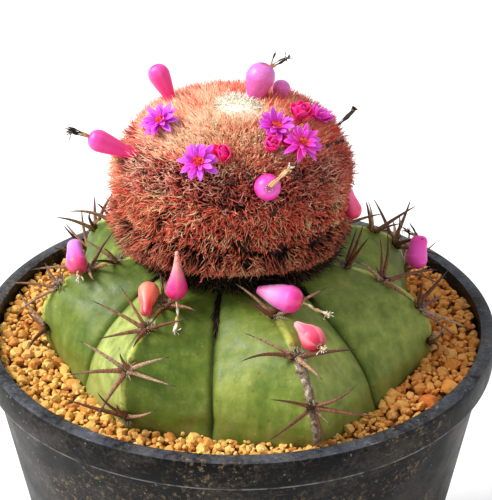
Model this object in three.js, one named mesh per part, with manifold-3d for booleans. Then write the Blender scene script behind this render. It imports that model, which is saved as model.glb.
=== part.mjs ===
// A round ribbed cactus with a bristly flowering cap, growing in a black nursery pot.
// Units are millimetres, +Z is up, and the origin is the middle of the pot's underside.
// Azimuths are in degrees round the pot: 0 is the front (-Y), 90 is the right-hand side (+X).

import * as THREE from 'three';
import { mergeVertices } from 'three/addons/utils/BufferGeometryUtils.js';
import Module from 'manifold-3d';

const wasm = await Module();
wasm.setup();

// Pot
const POT_HEIGHT = 125;
const RIM_RADIUS = 77.5;
const MOUTH_RADIUS = 72.9;
const BAND_HEIGHT = 9.2;
const NECK_RADIUS = 74.7;
const BASE_RADIUS = 54;
const WALL = 1.7;
const FLOOR = 2.6;
const DRAIN_HOLES = 8;
const DRAIN_RADIUS = 4.5;
const DRAIN_CIRCLE = 42;
const POT_SIDES = 48;

// Gap between pieces that rest on or in each other
const GAP = 0.3;
const HOLE_GAP = 0.5;

// Gravel
const SOIL_BELOW_RIM = 4.4;
const SOIL_SPOKES = 84;
const SOIL_RINGS = 6;
const GRAIN_RISE = 1.3;
const STEM_HOLE_DEPTH = 12.9;

// Stem: heights are over the pot's rim
const STEM_X = 0.5;
const STEM_Y = -3.5;
const STEM_LEAN = -2.4;
const CREST_TOP = 25.5;
const CREST_POWER = 2.85;
const GROOVE_TOP = 29;
const GROOVE_POWER = 1.6;
const GROOVE_SHARE = 0.87;
const STEM_ROOT = -17;
const STEM_TOP = 24.8;
const STEM_LEVELS = [STEM_ROOT, -4, 0, 4, 8, 12, 15, 17.5, 19.7, 21.7, 23.4, STEM_TOP];
const STEM_SPOKES = 64;

// Each rib: azimuth of its crest, radius at the rim's height, the groove after it, heights of its areoles
const RIBS = [
  { crest: -167, radius: 60, groove: -148, areoles: [23.2, 19.4, 11.5, 1] },
  { crest: -129, radius: 62, groove: -106, areoles: [23.4, 20, 14, 3] },
  { crest: -84, radius: 58.3, groove: -57, areoles: [23.4, 21.2, 16, 1.8] },
  { crest: -31.5, radius: 61, groove: -8, areoles: [23.4, 20.9, 13.4, -0.4] },
  { crest: 18.5, radius: 65.5, groove: 44, areoles: [23.4, 19, 8.8] },
  { crest: 77, radius: 58, groove: 98.5, areoles: [23.4, 20.2, 12.2, 0.8] },
  { crest: 120, radius: 60.5, groove: 139, areoles: [23.2, 18.6, 11.6, 1] },
  { crest: 158, radius: 60, groove: 175.5, areoles: [23.2, 19, 11.5, 1] },
];

// Spines
const SPINE_RADIUS = 0.68;
const SPINE_LENGTH = 14.5;
const PAD_RADIUS = 2.3;
const PAD_THICKNESS = 1.4;
const SPINE_SUNK = 1.1;
const LOW_AREOLE = 5;

// Spines seen from the front, areole by areole: clock angle round the areole (0 towards the cap,
// 90 to the right), lift from the skin, length
const SEEN_SPINES = {
  spines_2_1: [[30, 30, 14], [15, 55, 14], [-100, 25, 14], [100, 25, 14], [170, 30, 14]],
  spines_2_2: [[55, 35, 14], [-130, 25, 14], [35, 10, 12], [-80, 25, 14], [120, 30, 14]],
  spines_2_3: [[30, 10, 12], [75, 30, 15], [-100, 45, 14], [-60, 25, 14]],
  spines_3_1: [[-125, 12, 14], [120, 30, 14], [100, 45, 14]],
  spines_3_2: [[-20, 30, 13], [180, 22, 17], [80, 11, 14], [46, 12, 14]],
  spines_3_3: [[-100, 12, 14], [-165, 43, 15], [160, 18, 15]],
  spines_3_4: [[-95, 23, 14], [85, 20, 14], [-30, 30, 13]],
  spines_4_1: [[-36, 25, 13], [100, 16, 13], [165, 15, 12], [120, 40, 14]],
  spines_4_2: [[-105, 36, 17], [-143, 17, 14], [73, 20, 14], [-61, 33, 14], [170, 15, 9]],
  spines_4_3: [[-75, 24, 15], [-117, 31, 16], [-169, 15, 15], [90, 5, 17], [62, 8, 15], [46, 66, 13]],
  spines_4_4: [[-65, 20, 17], [-13, 20, 14], [53, 6, 17], [18, 25, 14]],
  spines_5_1: [[-50, 30, 15], [-102, 40, 14], [92, 28, 16], [20, 80, 14]],
  spines_5_2: [[-56, 12, 15], [-90, 8, 16], [104, 15, 16], [170, 24, 13]],
  spines_5_3: [[-67, 19, 14], [-112, 10, 16], [62, 32, 14], [105, 24, 16], [176, 17, 10]],
  spines_6_1: [[140, 80, 14], [-147, 67, 14], [90, 35, 13]],
  spines_6_2: [[60, 46, 14], [10, 60, 13], [160, 31, 16], [-38, 25, 14], [-133, 14, 14]],
  spines_6_3: [[38, 64, 14], [-169, 21, 14], [175, 32, 16], [-36, 33, 14], [110, 10, 14]],
  spines_6_4: [[-44, 21, 14], [95, 15, 13], [-71, 17, 14]],
  spines_7_2: [[180, 45, 16], [-17, 38, 14], [106, 25, 14], [-80, 30, 14]],
};

// Every other areole: an even fan of spines and one that stands out
const FAN_CLOCKS = [-140, -80, -25, 50, 110];
const LOW_CLOCK_SHARE = 0.6;
const FAN_LIFT = 22;
const CENTRAL_LIFT = 62;

// Cap
const CAP_X = -1.9;
const CAP_Y = -2.3;
const CAP_LEAN = 1.7;
const COLLAR_BOTTOM = STEM_TOP + GAP;
const COLLAR_TOP = 31.3;
const COLLAR_HAIRS = 40;
const CAP_WIDEST = 36.9;
const CAP_TOP = 68.2;
const CAP_RADIUS = 32.6;
const CAP_POWER = 3.16;
const CAP_UNDER = 9;
const CAP_SIDES = 26;
const CROWN_RADIUS = 8.5;
const CROWN_TUFTS = 12;
const TUFT_LENGTH = 3.2;
const TUFT_RADIUS = 1;
const GOLDEN_TURN = 2.4;
const BRISTLE_SPACING = 5.7;
const BRISTLE_RADIUS = 0.7;
const BRISTLE_LENGTH = 6.2;
const BRISTLE_SUNK = 1.6;

// Flowers: middle of the open petals, the way each faces, and how far its petals stand up
const FLOWERS = [
  { at: [-21.9, -11.8, 195.2], faces: [-0.45, -0.25, 0.86], lift: 42, turn: 10 },
  { at: [-10.4, -31.4, 190.4], faces: [-0.15, -0.7, 0.7], lift: 22, turn: 40 },
  { at: [10.6, -19.1, 196.2], faces: [0.1, -0.35, 0.93], lift: 28, turn: 0 },
  { at: [17.5, -23.5, 192.5], faces: [0.35, -0.5, 0.79], lift: 25, turn: 70 },
  { at: [24.6, -3, 192.2], faces: [0.55, 0.1, 0.83], lift: 50, turn: 20 },
];
const PETALS_OUTER = 6;
const PETALS_INNER = 4;
const TUBE_RADIUS = 1.7;
const PETAL_ROOT = 1.2;
const PETAL_LENGTH = 4.5;
const PETAL_WIDTH = 2.2;
const PETAL_THICKNESS = 0.6;
const FLOWER_ROOT = 6;

// Closed flower buds, standing in the bristles
const BUDS = [
  { at: [-3.9, -28.4, 191.6], faces: [-0.1, -0.6, 0.8], radius: 2.5 },
  { at: [17.4, -8.9, 195], faces: [0.3, -0.2, 0.93], radius: 2.6 },
  { at: [9.3, -25, 192.8], faces: [0.2, -0.5, 0.84], radius: 2.3 },
  { at: [13.6, -21.9, 192.6], faces: [0.25, -0.45, 0.86], radius: 1.7 },
];

// Berries: narrow end, fat end (middle of the round part), radius of each, and how far the dried flower
// stands out of the fat end
const FRUITS = [
  { narrow: [-17.9, 5.2, 190.6], fat: [-22.4, 7.4, 200.1], thin: 1.5, radius: 2.9, dried: 1.5 },
  { narrow: [-26.5, -14.2, 184.6], fat: [-38.8, -13.2, 189.2], thin: 1.5, radius: 3.1, dried: 9 },
  { narrow: [3.6, 3.4, 192.4], fat: [6.8, 5, 201.2], thin: 2, radius: 4.1, dried: 6 },
  { narrow: [12, 8.2, 190], fat: [12.6, 10, 195.2], thin: 1.7, radius: 2.6, dried: 1.5 },
  { narrow: [6.6, -29, 182.4], fat: [8.3, -37, 185.6], thin: 1.9, radius: 3.9, dried: 7 },
  { narrow: [32.4, -5.6, 169.6], fat: [34.6, -5.6, 162.6], thin: 1.5, radius: 2.7, dried: 1.5 },
  { narrow: [-47.9, -4.5, 152.6], fat: [-46.5, -11.3, 149.6], thin: 2.1, radius: 2.9, dried: 1.5 },
  { narrow: [-25.4, -38.7, 148.9], fat: [-24.9, -30.9, 151.2], thin: 1.6, radius: 2.9, dried: 1.5 },
  { narrow: [-16.7, -33.8, 164.6], fat: [-17.2, -34.6, 153.3], thin: 1.1, radius: 2.9, dried: 9 },
  { narrow: [5.8, -36.2, 154], fat: [14.3, -38.3, 152.4], thin: 1.5, radius: 3.7, dried: 8 },
  { narrow: [16.1, -44.2, 148.4], fat: [20.2, -51, 147.6], thin: 1.4, radius: 3.4, dried: 1.5 },
  { narrow: [55.9, 17.2, 140.4], fat: [55.4, 13.8, 134.8], thin: 2.5, radius: 3.2, dried: 4 },
];
const FRUIT_SIDES = 7;
const DRIED_RADIUS = 0.75;

// A dried flower left standing in the bristles
const DRIED_FLOWER = { root: [26, 1.6, 184.6], tip: [33.8, 3.6, 191.4], radius: 0.75 };

const LOOK = {
  pot: new THREE.MeshStandardMaterial({ color: 0x2b2d31, roughness: 0.55, metalness: 0 }),
  gravel: new THREE.MeshStandardMaterial({ color: 0xc08a3c, roughness: 0.95, metalness: 0 }),
  skin: new THREE.MeshStandardMaterial({ color: 0x7a9456, roughness: 0.6, metalness: 0 }),
  bristle: new THREE.MeshStandardMaterial({ color: 0xa8452f, roughness: 0.8, metalness: 0 }),
  oldWool: new THREE.MeshStandardMaterial({ color: 0x2a1d16, roughness: 0.95, metalness: 0 }),
  wool: new THREE.MeshStandardMaterial({ color: 0xf0e6c8, roughness: 0.95, metalness: 0 }),
  petal: new THREE.MeshStandardMaterial({ color: 0xd42fd0, roughness: 0.5, metalness: 0 }),
  bud: new THREE.MeshStandardMaterial({ color: 0xe0187c, roughness: 0.5, metalness: 0 }),
  berry: new THREE.MeshStandardMaterial({ color: 0xee4fa8, roughness: 0.35, metalness: 0 }),
  spine: new THREE.MeshStandardMaterial({ color: 0x4a332b, roughness: 0.7, metalness: 0 }),
  dried: new THREE.MeshStandardMaterial({ color: 0x2b211c, roughness: 0.9, metalness: 0 }),
};

const UP = new THREE.Vector3(0, 0, 1);
const rad = THREE.MathUtils.degToRad;
const vec = (list) => new THREE.Vector3(...list);

// Seeded draws, so that every build places the same bristles and grains
function seededDraws(seed) {
  let state = seed;
  return () => {
    state = (state * 1664525 + 1013904223) % 4294967296;
    return state / 4294967296;
  };
}

// A closed three.js geometry as a solid that can be joined and cut
function solid(geometry) {
  const bare = geometry.clone();
  bare.deleteAttribute('normal');
  bare.deleteAttribute('uv');
  const merged = mergeVertices(bare, 1e-4);
  const vertProperties = new Float32Array(merged.attributes.position.array);
  const triVerts = new Uint32Array(merged.index.array);
  return new wasm.Manifold(new wasm.Mesh({ numProp: 3, vertProperties, triVerts }));
}

// The largest piece of a cut solid, as a geometry; scraps left by a cut are dropped
function wholePiece(cutSolid) {
  const pieces = cutSolid.decompose().sort((a, b) => b.volume() - a.volume());
  const { vertProperties, triVerts } = pieces[0].getMesh();
  const geometry = new THREE.BufferGeometry();
  geometry.setAttribute('position', new THREE.BufferAttribute(vertProperties, 3));
  geometry.setIndex(new THREE.BufferAttribute(triVerts, 1));
  geometry.computeVertexNormals();
  return geometry;
}

function boxesMeet(a, b) {
  const p = a.boundingBox();
  const q = b.boundingBox();
  return [0, 1, 2].every((i) => p.min[i] < q.max[i] && q.min[i] < p.max[i]);
}

// Takes the grown outlines of neighbours out of a solid, where they come near it
function clearOf(body, neighbours) {
  return neighbours.filter((other) => boxesMeet(body, other)).reduce((left, other) => left.subtract(other), body);
}

function named(name, body, look) {
  const mesh = new THREE.Mesh(wholePiece(body), look);
  mesh.name = name;
  return mesh;
}

// Closed skin over a stack of rings with equal counts, bottom first; each quad takes its shorter diagonal
function loft(rings) {
  const count = rings[0].length;
  const points = rings.flat();
  const faces = [];
  for (let i = 0; i + 1 < rings.length; i += 1) {
    for (let j = 0; j < count; j += 1) {
      const next = (j + 1) % count;
      const [a, b] = [i * count + j, i * count + next];
      const [d, c] = [a + count, b + count];
      const straight = points[a].distanceTo(points[c]) <= points[b].distanceTo(points[d]);
      faces.push(...(straight ? [a, b, c, a, c, d] : [a, b, d, b, c, d]));
    }
  }
  [rings[0], rings[rings.length - 1]].forEach((ring, end) => {
    const middle = ring.reduce((sum, p) => sum.add(p), new THREE.Vector3()).divideScalar(count);
    const first = end * (rings.length - 1) * count;
    points.push(middle);
    for (let j = 0; j < count; j += 1) {
      const pair = [first + j, first + ((j + 1) % count)];
      faces.push(points.length - 1, ...(end ? pair : pair.reverse()));
    }
  });
  const geometry = new THREE.BufferGeometry().setFromPoints(points);
  geometry.setIndex(faces);
  return geometry;
}

// A turned shape about +Z from a profile of [radius, height] pairs, bottom first
function turned(profile, sides) {
  const geometry = new THREE.LatheGeometry(profile.map(([r, z]) => new THREE.Vector2(r, z)), sides);
  return geometry.rotateX(Math.PI / 2);
}

// Stands a geometry made along +Z at a point, facing a direction, turned about itself
function stand(geometry, at, facing, turn = 0) {
  geometry.rotateZ(turn);
  geometry.applyQuaternion(new THREE.Quaternion().setFromUnitVectors(UP, facing.clone().normalize()));
  return geometry.translate(at.x, at.y, at.z);
}

// A sharp cone from the origin along +Z; grown, it is blunt and keeps its distance on every side
function spikeOf(length, radius, sides, grow = 0) {
  const spike = new THREE.CylinderGeometry(2 * grow, radius + 2 * grow, length + grow, sides, 1);
  return spike.translate(0, (length + grow) / 2, 0).rotateX(Math.PI / 2);
}

// Pot: tapered wall, thick band at the rim, flat floor with drain holes
function makePot() {
  const bandFoot = POT_HEIGHT - BAND_HEIGHT;
  const profile = [
    [0, 0], [BASE_RADIUS - 1.5, 0], [BASE_RADIUS, 1.5], [NECK_RADIUS, bandFoot],
    [RIM_RADIUS - 0.7, bandFoot], [RIM_RADIUS - 0.3, bandFoot + 0.8], [RIM_RADIUS, POT_HEIGHT - 1.2],
    [RIM_RADIUS - 1.2, POT_HEIGHT], [MOUTH_RADIUS + 0.8, POT_HEIGHT], [MOUTH_RADIUS, POT_HEIGHT - 0.9],
    [NECK_RADIUS - WALL, bandFoot], [BASE_RADIUS - WALL, FLOOR], [0, FLOOR],
  ];
  const hole = new THREE.CylinderGeometry(DRAIN_RADIUS, DRAIN_RADIUS, 4 * FLOOR, 10).rotateX(Math.PI / 2);
  let body = solid(turned(profile, POT_SIDES));
  for (let i = 0; i < DRAIN_HOLES; i += 1) {
    const angle = rad(((i + 0.5) * 360) / DRAIN_HOLES);
    const drain = hole.clone().translate(DRAIN_CIRCLE * Math.cos(angle), DRAIN_CIRCLE * Math.sin(angle), 0);
    body = body.subtract(solid(drain));
  }
  return body;
}

// Inner face of the pot's wall at a height
function potInside(z) {
  const share = (z - FLOOR) / (POT_HEIGHT - BAND_HEIGHT - FLOOR);
  return Math.min(THREE.MathUtils.lerp(BASE_RADIUS - WALL, NECK_RADIUS - WALL, share), MOUTH_RADIUS);
}

// Radius of a rib's crest at a height over the rim
function crestRadius(rib, h) {
  if (h < 0) return rib.radius - 0.25 * (-h) ** 1.2;
  return rib.radius * (1 - (h / CREST_TOP) ** CREST_POWER) ** (1 / CREST_POWER);
}

// Radius of the groove between two ribs at a height over the rim
function grooveRadius(rib, nextRib, h) {
  const radius = (GROOVE_SHARE * (rib.radius + nextRib.radius)) / 2;
  if (h < 0) return radius - 0.4 * h;
  return radius * (1 - (h / GROOVE_TOP) ** GROOVE_POWER) ** (1 / GROOVE_POWER);
}

// Degrees forward from one azimuth to another
const turnFrom = (from, to) => (((to - from) % 360) + 360) % 360;

// Outline of the stem: full ribs with tight grooves at the soil, sharp crests near the cap
function stemRadius(azimuth, h) {
  const index = RIBS.findIndex((rib, i) => {
    const before = RIBS[(i + RIBS.length - 1) % RIBS.length].groove;
    return turnFrom(before, azimuth) < turnFrom(before, rib.groove);
  });
  const rib = RIBS[index];
  const before = RIBS[(index + RIBS.length - 1) % RIBS.length];
  const after = RIBS[(index + 1) % RIBS.length];
  const past = turnFrom(before.groove, azimuth) - turnFrom(before.groove, rib.crest);
  const width = past > 0 ? turnFrom(rib.crest, rib.groove) : turnFrom(before.groove, rib.crest);
  const groove = past > 0 ? grooveRadius(rib, after, h) : grooveRadius(before, rib, h);
  const power = 2.4 - 1.15 * THREE.MathUtils.clamp((h + 4) / 28, 0, 1);
  return groove + (crestRadius(rib, h) - groove) * (1 - Math.abs(past / width) ** power);
}

// Point on or off the stem's skin
function stemPoint(azimuth, h, radius) {
  const angle = rad(azimuth);
  const lean = STEM_LEAN * THREE.MathUtils.clamp(h / 25, 0, 1);
  return vec([STEM_X + lean + radius * Math.sin(angle), STEM_Y - radius * Math.cos(angle), POT_HEIGHT + h]);
}

// Azimuths of the stem's spokes: each crest and groove has its own, with even steps between
function stemSpokes(count) {
  const stops = RIBS.flatMap((rib) => [rib.crest, rib.groove]);
  const steps = count / stops.length;
  return stops.flatMap((stop, i) => {
    const width = turnFrom(stop, stops[(i + 1) % stops.length]);
    return Array.from({ length: steps }, (_, j) => stop + (width * j) / steps);
  });
}

function makeStem(grow = 0) {
  const spokes = stemSpokes(STEM_SPOKES);
  const rings = STEM_LEVELS.map((h) => spokes.map((azimuth) => {
    const inSoil = Math.max(h, STEM_LEVELS[1]);
    const point = stemPoint(azimuth, h, stemRadius(azimuth, inSoil) + grow);
    point.z += grow * THREE.MathUtils.clamp(h / 18, -1, 1);
    return point;
  }));
  return solid(loft(rings));
}

// Gravel: fills the pot, with a raised grain at every third point of its top and a plain hole for the stem
function makeSoil() {
  const draw = seededDraws(7);
  const top = POT_HEIGHT - SOIL_BELOW_RIM;
  const azimuths = Array.from({ length: SOIL_SPOKES }, (_, j) => (j * 360) / SOIL_SPOKES);
  const circle = (radius, z) => azimuths.map((a) => vec([radius * Math.sin(rad(a)), -radius * Math.cos(rad(a)), z]));
  const holeEdge = (a, z) => stemPoint(a, z - POT_HEIGHT, stemRadius(a, STEM_LEVELS[1]) + HOLE_GAP);
  const rings = [circle(potInside(FLOOR) - GAP, FLOOR + GAP), circle(potInside(top - 1) - GAP, top - 1)];
  for (let i = SOIL_RINGS; i >= 0; i -= 1) {
    rings.push(azimuths.map((azimuth, j) => {
      const a = azimuth + (i % 2) * (180 / SOIL_SPOKES);
      const inner = holeEdge(a, top);
      const outer = vec([Math.sin(rad(a)), -Math.cos(rad(a)), 0]).multiplyScalar(potInside(top) - GAP).setZ(top);
      const point = inner.clone().lerp(outer, i / SOIL_RINGS);
      const peak = (j - Math.floor(i / 2) - i + 3 * SOIL_RINGS) % 3 === 0 && i > 0 && i < SOIL_RINGS;
      const rise = (peak ? GRAIN_RISE * (0.55 + 0.9 * draw()) : -0.3 + 0.4 * draw());
      point.z += i > 0 ? rise + 0.5 * Math.sin(rad(3 * a + 40)) : -0.6;
      return point;
    }));
  }
  rings.push(azimuths.map((a) => holeEdge(a, top - STEM_HOLE_DEPTH)));
  return solid(loft(rings));
}

// Place and directions at an areole: outwards from the skin, along the crest to the cap, and to the right
function areoleFrame(rib, h) {
  const step = 0.2;
  const at = stemPoint(rib.crest, h, crestRadius(rib, h));
  const below = stemPoint(rib.crest, h - step, crestRadius(rib, h - step));
  const up = at.clone().sub(below).normalize();
  const outwards = vec([Math.sin(rad(rib.crest)), -Math.cos(rad(rib.crest)), 0]);
  const right = vec([-outwards.y, outwards.x, 0]);
  const normal = right.clone().cross(up).normalize();
  return { at, up, right, normal };
}

// A woolly pad on the crest with its spines, all grown together
function makeSpines(rib, h, fan, draw, grow = 0) {
  const { at, up, right, normal } = areoleFrame(rib, h);
  const [width, thickness] = [PAD_RADIUS + 2 * grow, PAD_THICKNESS + 2 * grow];
  const pad = new THREE.OctahedronGeometry(1, 0).scale(width, width, thickness);
  const middle = at.clone().addScaledVector(normal, 0.6);
  let body = solid(stand(pad, middle, normal, draw() * 3));
  fan.forEach(([clock, lift, length]) => {
    const flat = up.clone().multiplyScalar(Math.cos(rad(clock))).addScaledVector(right, Math.sin(rad(clock)));
    const facing = flat.multiplyScalar(Math.cos(rad(lift))).addScaledVector(normal, Math.sin(rad(lift)));
    const root = middle.clone().addScaledVector(facing, SPINE_SUNK);
    const spike = spikeOf(length - SPINE_SUNK, SPINE_RADIUS, 3, grow);
    body = body.add(solid(stand(spike, root, facing, draw() * 6)));
  });
  return body;
}

// Clock angle, lift and length of an areole's spines; near the soil they keep above it
function spineFan(name, height, draw) {
  const share = height < LOW_AREOLE ? LOW_CLOCK_SHARE : 1;
  const ring = FAN_CLOCKS.map((clock) => [
    share * (clock + 24 * (draw() - 0.5)), FAN_LIFT + 20 * (draw() - 0.5), SPINE_LENGTH + 3 * (draw() - 0.5),
  ]);
  ring.push([60 * (draw() - 0.5), CENTRAL_LIFT, SPINE_LENGTH]);
  return SEEN_SPINES[name] ?? ring;
}

// Radius of the cap's core at a height over the rim
function capRadius(h) {
  const reach = h > CAP_WIDEST ? (h - CAP_WIDEST) / (CAP_TOP - CAP_WIDEST) : (CAP_WIDEST - h) / CAP_UNDER;
  return CAP_RADIUS * Math.max(0, 1 - reach ** CAP_POWER) ** (1 / CAP_POWER);
}

const leaning = (geometry) => geometry.rotateY(rad(CAP_LEAN)).translate(CAP_X, CAP_Y, POT_HEIGHT);

// Core of the cap: a tall dome with a rounded lower edge and a shallow seat for the crown
function makeCapCore() {
  const foot = COLLAR_TOP + GAP;
  const steps = 9;
  const profile = [[0, foot], [capRadius(foot), foot], [capRadius(34), 34]];
  for (let i = 0; i <= steps; i += 1) {
    const angle = (i / steps) ** 0.8 * (Math.PI / 2) * 0.93;
    const h = CAP_WIDEST + (CAP_TOP - CAP_WIDEST) * Math.sin(angle) ** (2 / CAP_POWER);
    profile.push([capRadius(h), h]);
  }
  profile.push([0, CAP_TOP]);
  return solid(leaning(turned(profile, CAP_SIDES)));
}

// Bristles in even rows over the cap: roots in the core, tips up and out on the dome, down at the foot
function makeBristles() {
  const draw = seededDraws(21);
  const spikes = [];
  let h = 33.5;
  let alongTop = CAP_RADIUS * 0.86;
  const plant = (radius, height, normal) => {
    const count = Math.round((2 * Math.PI * radius) / BRISTLE_SPACING);
    const shift = draw() * 6;
    for (let i = 0; i < count; i += 1) {
      const angle = shift + ((i + 0.3 * draw()) * 2 * Math.PI) / count;
      const outwards = vec([Math.cos(angle), Math.sin(angle), 0]);
      const facing = outwards.clone().multiplyScalar(normal[0]).addScaledVector(UP, normal[1]);
      facing.add(vec([draw() - 0.5, draw() - 0.5, draw() - 0.5]).multiplyScalar(0.45)).normalize();
      const root = outwards.multiplyScalar(radius).setZ(height).addScaledVector(facing, -BRISTLE_SUNK);
      const length = BRISTLE_LENGTH * (0.85 + 0.3 * draw());
      spikes.push(leaning(stand(spikeOf(length, BRISTLE_RADIUS, 3), root, facing, draw() * 6)));
    }
  };
  while (h < CAP_WIDEST + 0.78 * (CAP_TOP - CAP_WIDEST)) {
    const low = THREE.MathUtils.clamp((CAP_WIDEST + 3 - h) / 8, 0, 1);
    plant(capRadius(h), h, [1, 0.25 - 0.95 * low]);
    h += BRISTLE_SPACING;
  }
  while (alongTop > CROWN_RADIUS + 2) {
    const rise = (1 - (alongTop / CAP_RADIUS) ** CAP_POWER) ** (1 / CAP_POWER);
    const height = CAP_WIDEST + (CAP_TOP - CAP_WIDEST) * rise;
    plant(alongTop, height, [0.25 + (alongTop / CAP_RADIUS) ** 3, 1]);
    alongTop -= BRISTLE_SPACING;
  }
  return spikes.map(solid);
}

// The low ring of black old wool that the cap stands on, with short hairs over its edge
function makeCollar() {
  const draw = seededDraws(5);
  const [foot, edge] = [capRadius(COLLAR_TOP) - 3, capRadius(COLLAR_TOP)];
  const profile = [[0, COLLAR_BOTTOM], [foot, COLLAR_BOTTOM], [edge, COLLAR_BOTTOM + 3], [edge, COLLAR_TOP], [0, COLLAR_TOP]];
  let body = solid(leaning(turned(profile, CAP_SIDES)));
  for (let i = 0; i < COLLAR_HAIRS; i += 1) {
    const angle = ((i + 0.4 * draw()) * 2 * Math.PI) / COLLAR_HAIRS;
    const outwards = vec([Math.cos(angle), Math.sin(angle), 0]);
    const facing = outwards.clone().addScaledVector(UP, -0.1 - 0.4 * draw()).normalize();
    const root = outwards.multiplyScalar(edge - 2).setZ(COLLAR_BOTTOM + 2.2 + 2.2 * (i % 2));
    const hair = spikeOf(BRISTLE_LENGTH * (0.8 + 0.3 * draw()), BRISTLE_RADIUS, 3);
    body = body.add(solid(leaning(stand(hair, root, facing))));
  }
  return body;
}

// Pale young wool at the middle of the cap, a low pad of tufts in its seat
function makeCrown(grow = 0) {
  const draw = seededDraws(9);
  const radius = CROWN_RADIUS + grow;
  const base = CAP_TOP - 1.6 - grow;
  const profile = [[0, base], [radius, base], [radius, CAP_TOP + 0.4], [radius * 0.7, CAP_TOP + 1.3], [0, CAP_TOP + 1.7]];
  let body = solid(leaning(turned(profile, 14)));
  for (let i = 0; i < CROWN_TUFTS; i += 1) {
    const angle = i * GOLDEN_TURN;
    const root = vec([Math.cos(angle), Math.sin(angle), 0]).multiplyScalar(1.8 * Math.sqrt(i + 1)).setZ(CAP_TOP);
    const facing = vec([draw() - 0.5, draw() - 0.5, 1.4]);
    body = body.add(solid(leaning(stand(spikeOf(TUFT_LENGTH, TUFT_RADIUS, 4, grow), root, facing))));
  }
  return body;
}

// One pointed petal, lying along +X from the flower's middle
function makePetal(length, width, thickness) {
  const outline = new THREE.Shape();
  outline.moveTo(0, -width * 0.18);
  outline.lineTo(length * 0.62, -width / 2);
  outline.lineTo(length, 0);
  outline.lineTo(length * 0.62, width / 2);
  outline.lineTo(0, width * 0.18);
  outline.closePath();
  const blade = new THREE.ExtrudeGeometry(outline, { depth: thickness, bevelEnabled: false, steps: 1 });
  return blade.translate(0, 0, -thickness / 2);
}

// An open flower: a slim tube with two rings of pointed petals and a raised middle
function makeFlower({ at, faces, lift, turn }, grow = 0) {
  const facing = vec(faces).normalize();
  const place = vec(at);
  const tube = turned([
    [0, -FLOWER_ROOT - grow], [1.1 + grow, -FLOWER_ROOT - grow], [TUBE_RADIUS + grow, -0.5],
    [TUBE_RADIUS + grow, 0.7], [0, 1.6 + grow],
  ], 6);
  let body = solid(stand(tube, place, facing));
  const ring = (count, length, rise, start) => {
    for (let i = 0; i < count; i += 1) {
      const petal = makePetal(length + 2 * grow, PETAL_WIDTH + 2 * grow, PETAL_THICKNESS + 2 * grow);
      petal.translate(PETAL_ROOT - grow, 0, 0).rotateY(-rad(rise)).rotateZ(rad(start + (i * 360) / count));
      body = body.add(solid(stand(petal, place, facing)));
    }
  };
  ring(PETALS_OUTER, PETAL_LENGTH, lift - 8, turn);
  ring(PETALS_INNER, PETAL_LENGTH * 0.86, lift + 22, turn + 26);
  return body;
}

// A closed bud: a small pointed drop standing in the bristles
function makeBud({ at, faces, radius }, grow = 0) {
  const r = radius + grow;
  const profile = [[0, -5 - grow], [1 + grow, -5 - grow], [r * 0.8, -1], [r, 0.6], [r * 0.62, 2.4], [0, 3.6 + grow]];
  return solid(stand(turned(profile, 7), vec(at), vec(faces)));
}

// A club-shaped berry, with the dried flower left on its round end
function makeFruit({ narrow, fat, thin, radius, dried }, draw, grow = 0) {
  const start = vec(narrow);
  const axis = vec(fat).sub(start);
  const length = axis.length();
  const [a, b] = [thin + grow, radius + grow];
  const profile = [
    [0, -0.5 * thin - grow], [a * 0.75, -0.3 * thin - grow], [a, 0.6], [(a + b) / 2, length * 0.5],
    [b * 0.96, length * 0.82], [b, length], [b * 0.72, length + b * 0.68], [0, length + b * 0.92],
  ];
  let body = solid(stand(turned(profile, FRUIT_SIDES), start, axis));
  const lean = vec([draw() - 0.5, draw() - 0.5, draw() - 0.2]).multiplyScalar(0.9);
  const stub = spikeOf(dried + radius, DRIED_RADIUS, 4, grow);
  body = body.add(solid(stand(stub, vec(fat), axis.normalize().add(lean.multiplyScalar(0.5)))));
  return body;
}

function makeDriedFlower(grow = 0) {
  const root = vec(DRIED_FLOWER.root);
  const axis = vec(DRIED_FLOWER.tip).sub(root);
  const { radius } = DRIED_FLOWER;
  const length = axis.length();
  const profile = [
    [0, -grow], [radius + grow, -grow], [radius * 0.8 + grow, length * 0.7], [radius * 1.4 + grow, length * 0.85],
    [0, length + grow],
  ];
  return solid(stand(turned(profile, 5), root, axis));
}

const group = new THREE.Group();
const add = (name, body, look) => group.add(named(name, body, look));

add('pot', makePot(), LOOK.pot);
add('soil', makeSoil(), LOOK.gravel);
add('stem', makeStem(), LOOK.skin);

// What stands in or lies on something else is cut clear of it, one kind after another
const stemRoom = makeStem(GAP);
const taken = [stemRoom];

function addCleared(name, build, look) {
  add(name, clearOf(build(0), taken), look);
  return build(GAP);
}

FRUITS.forEach((fruit, i) => {
  taken.push(addCleared(`fruit_${i + 1}`, (grow) => makeFruit(fruit, seededDraws(i + 1), grow), LOOK.berry));
});
FLOWERS.forEach((flower, i) => {
  taken.push(addCleared(`flower_${i + 1}`, (grow) => makeFlower(flower, grow), LOOK.petal));
});
BUDS.forEach((bud, i) => {
  taken.push(addCleared(`bud_${i + 1}`, (grow) => makeBud(bud, grow), LOOK.bud));
});
taken.push(addCleared('dried_flower', makeDriedFlower, LOOK.dried));
taken.push(addCleared('cap_crown', makeCrown, LOOK.wool));

const capCore = makeCapCore();
const capRoom = solid(leaning(turned([
  [0, COLLAR_BOTTOM], [30, COLLAR_BOTTOM], [34, CAP_WIDEST], [34, CAP_TOP - 10], [0, CAP_TOP],
], CAP_SIDES)));
taken.push(capRoom);
RIBS.forEach((rib, i) => {
  rib.areoles.forEach((height, j) => {
    const name = `spines_${i + 1}_${j + 1}`;
    const seed = 10 * i + j + 1;
    const fan = spineFan(name, height, seededDraws(seed));
    taken.push(addCleared(name, (grow) => makeSpines(rib, height, fan, seededDraws(seed), grow), LOOK.spine));
  });
});
taken.splice(taken.indexOf(capRoom), 1);

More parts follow.
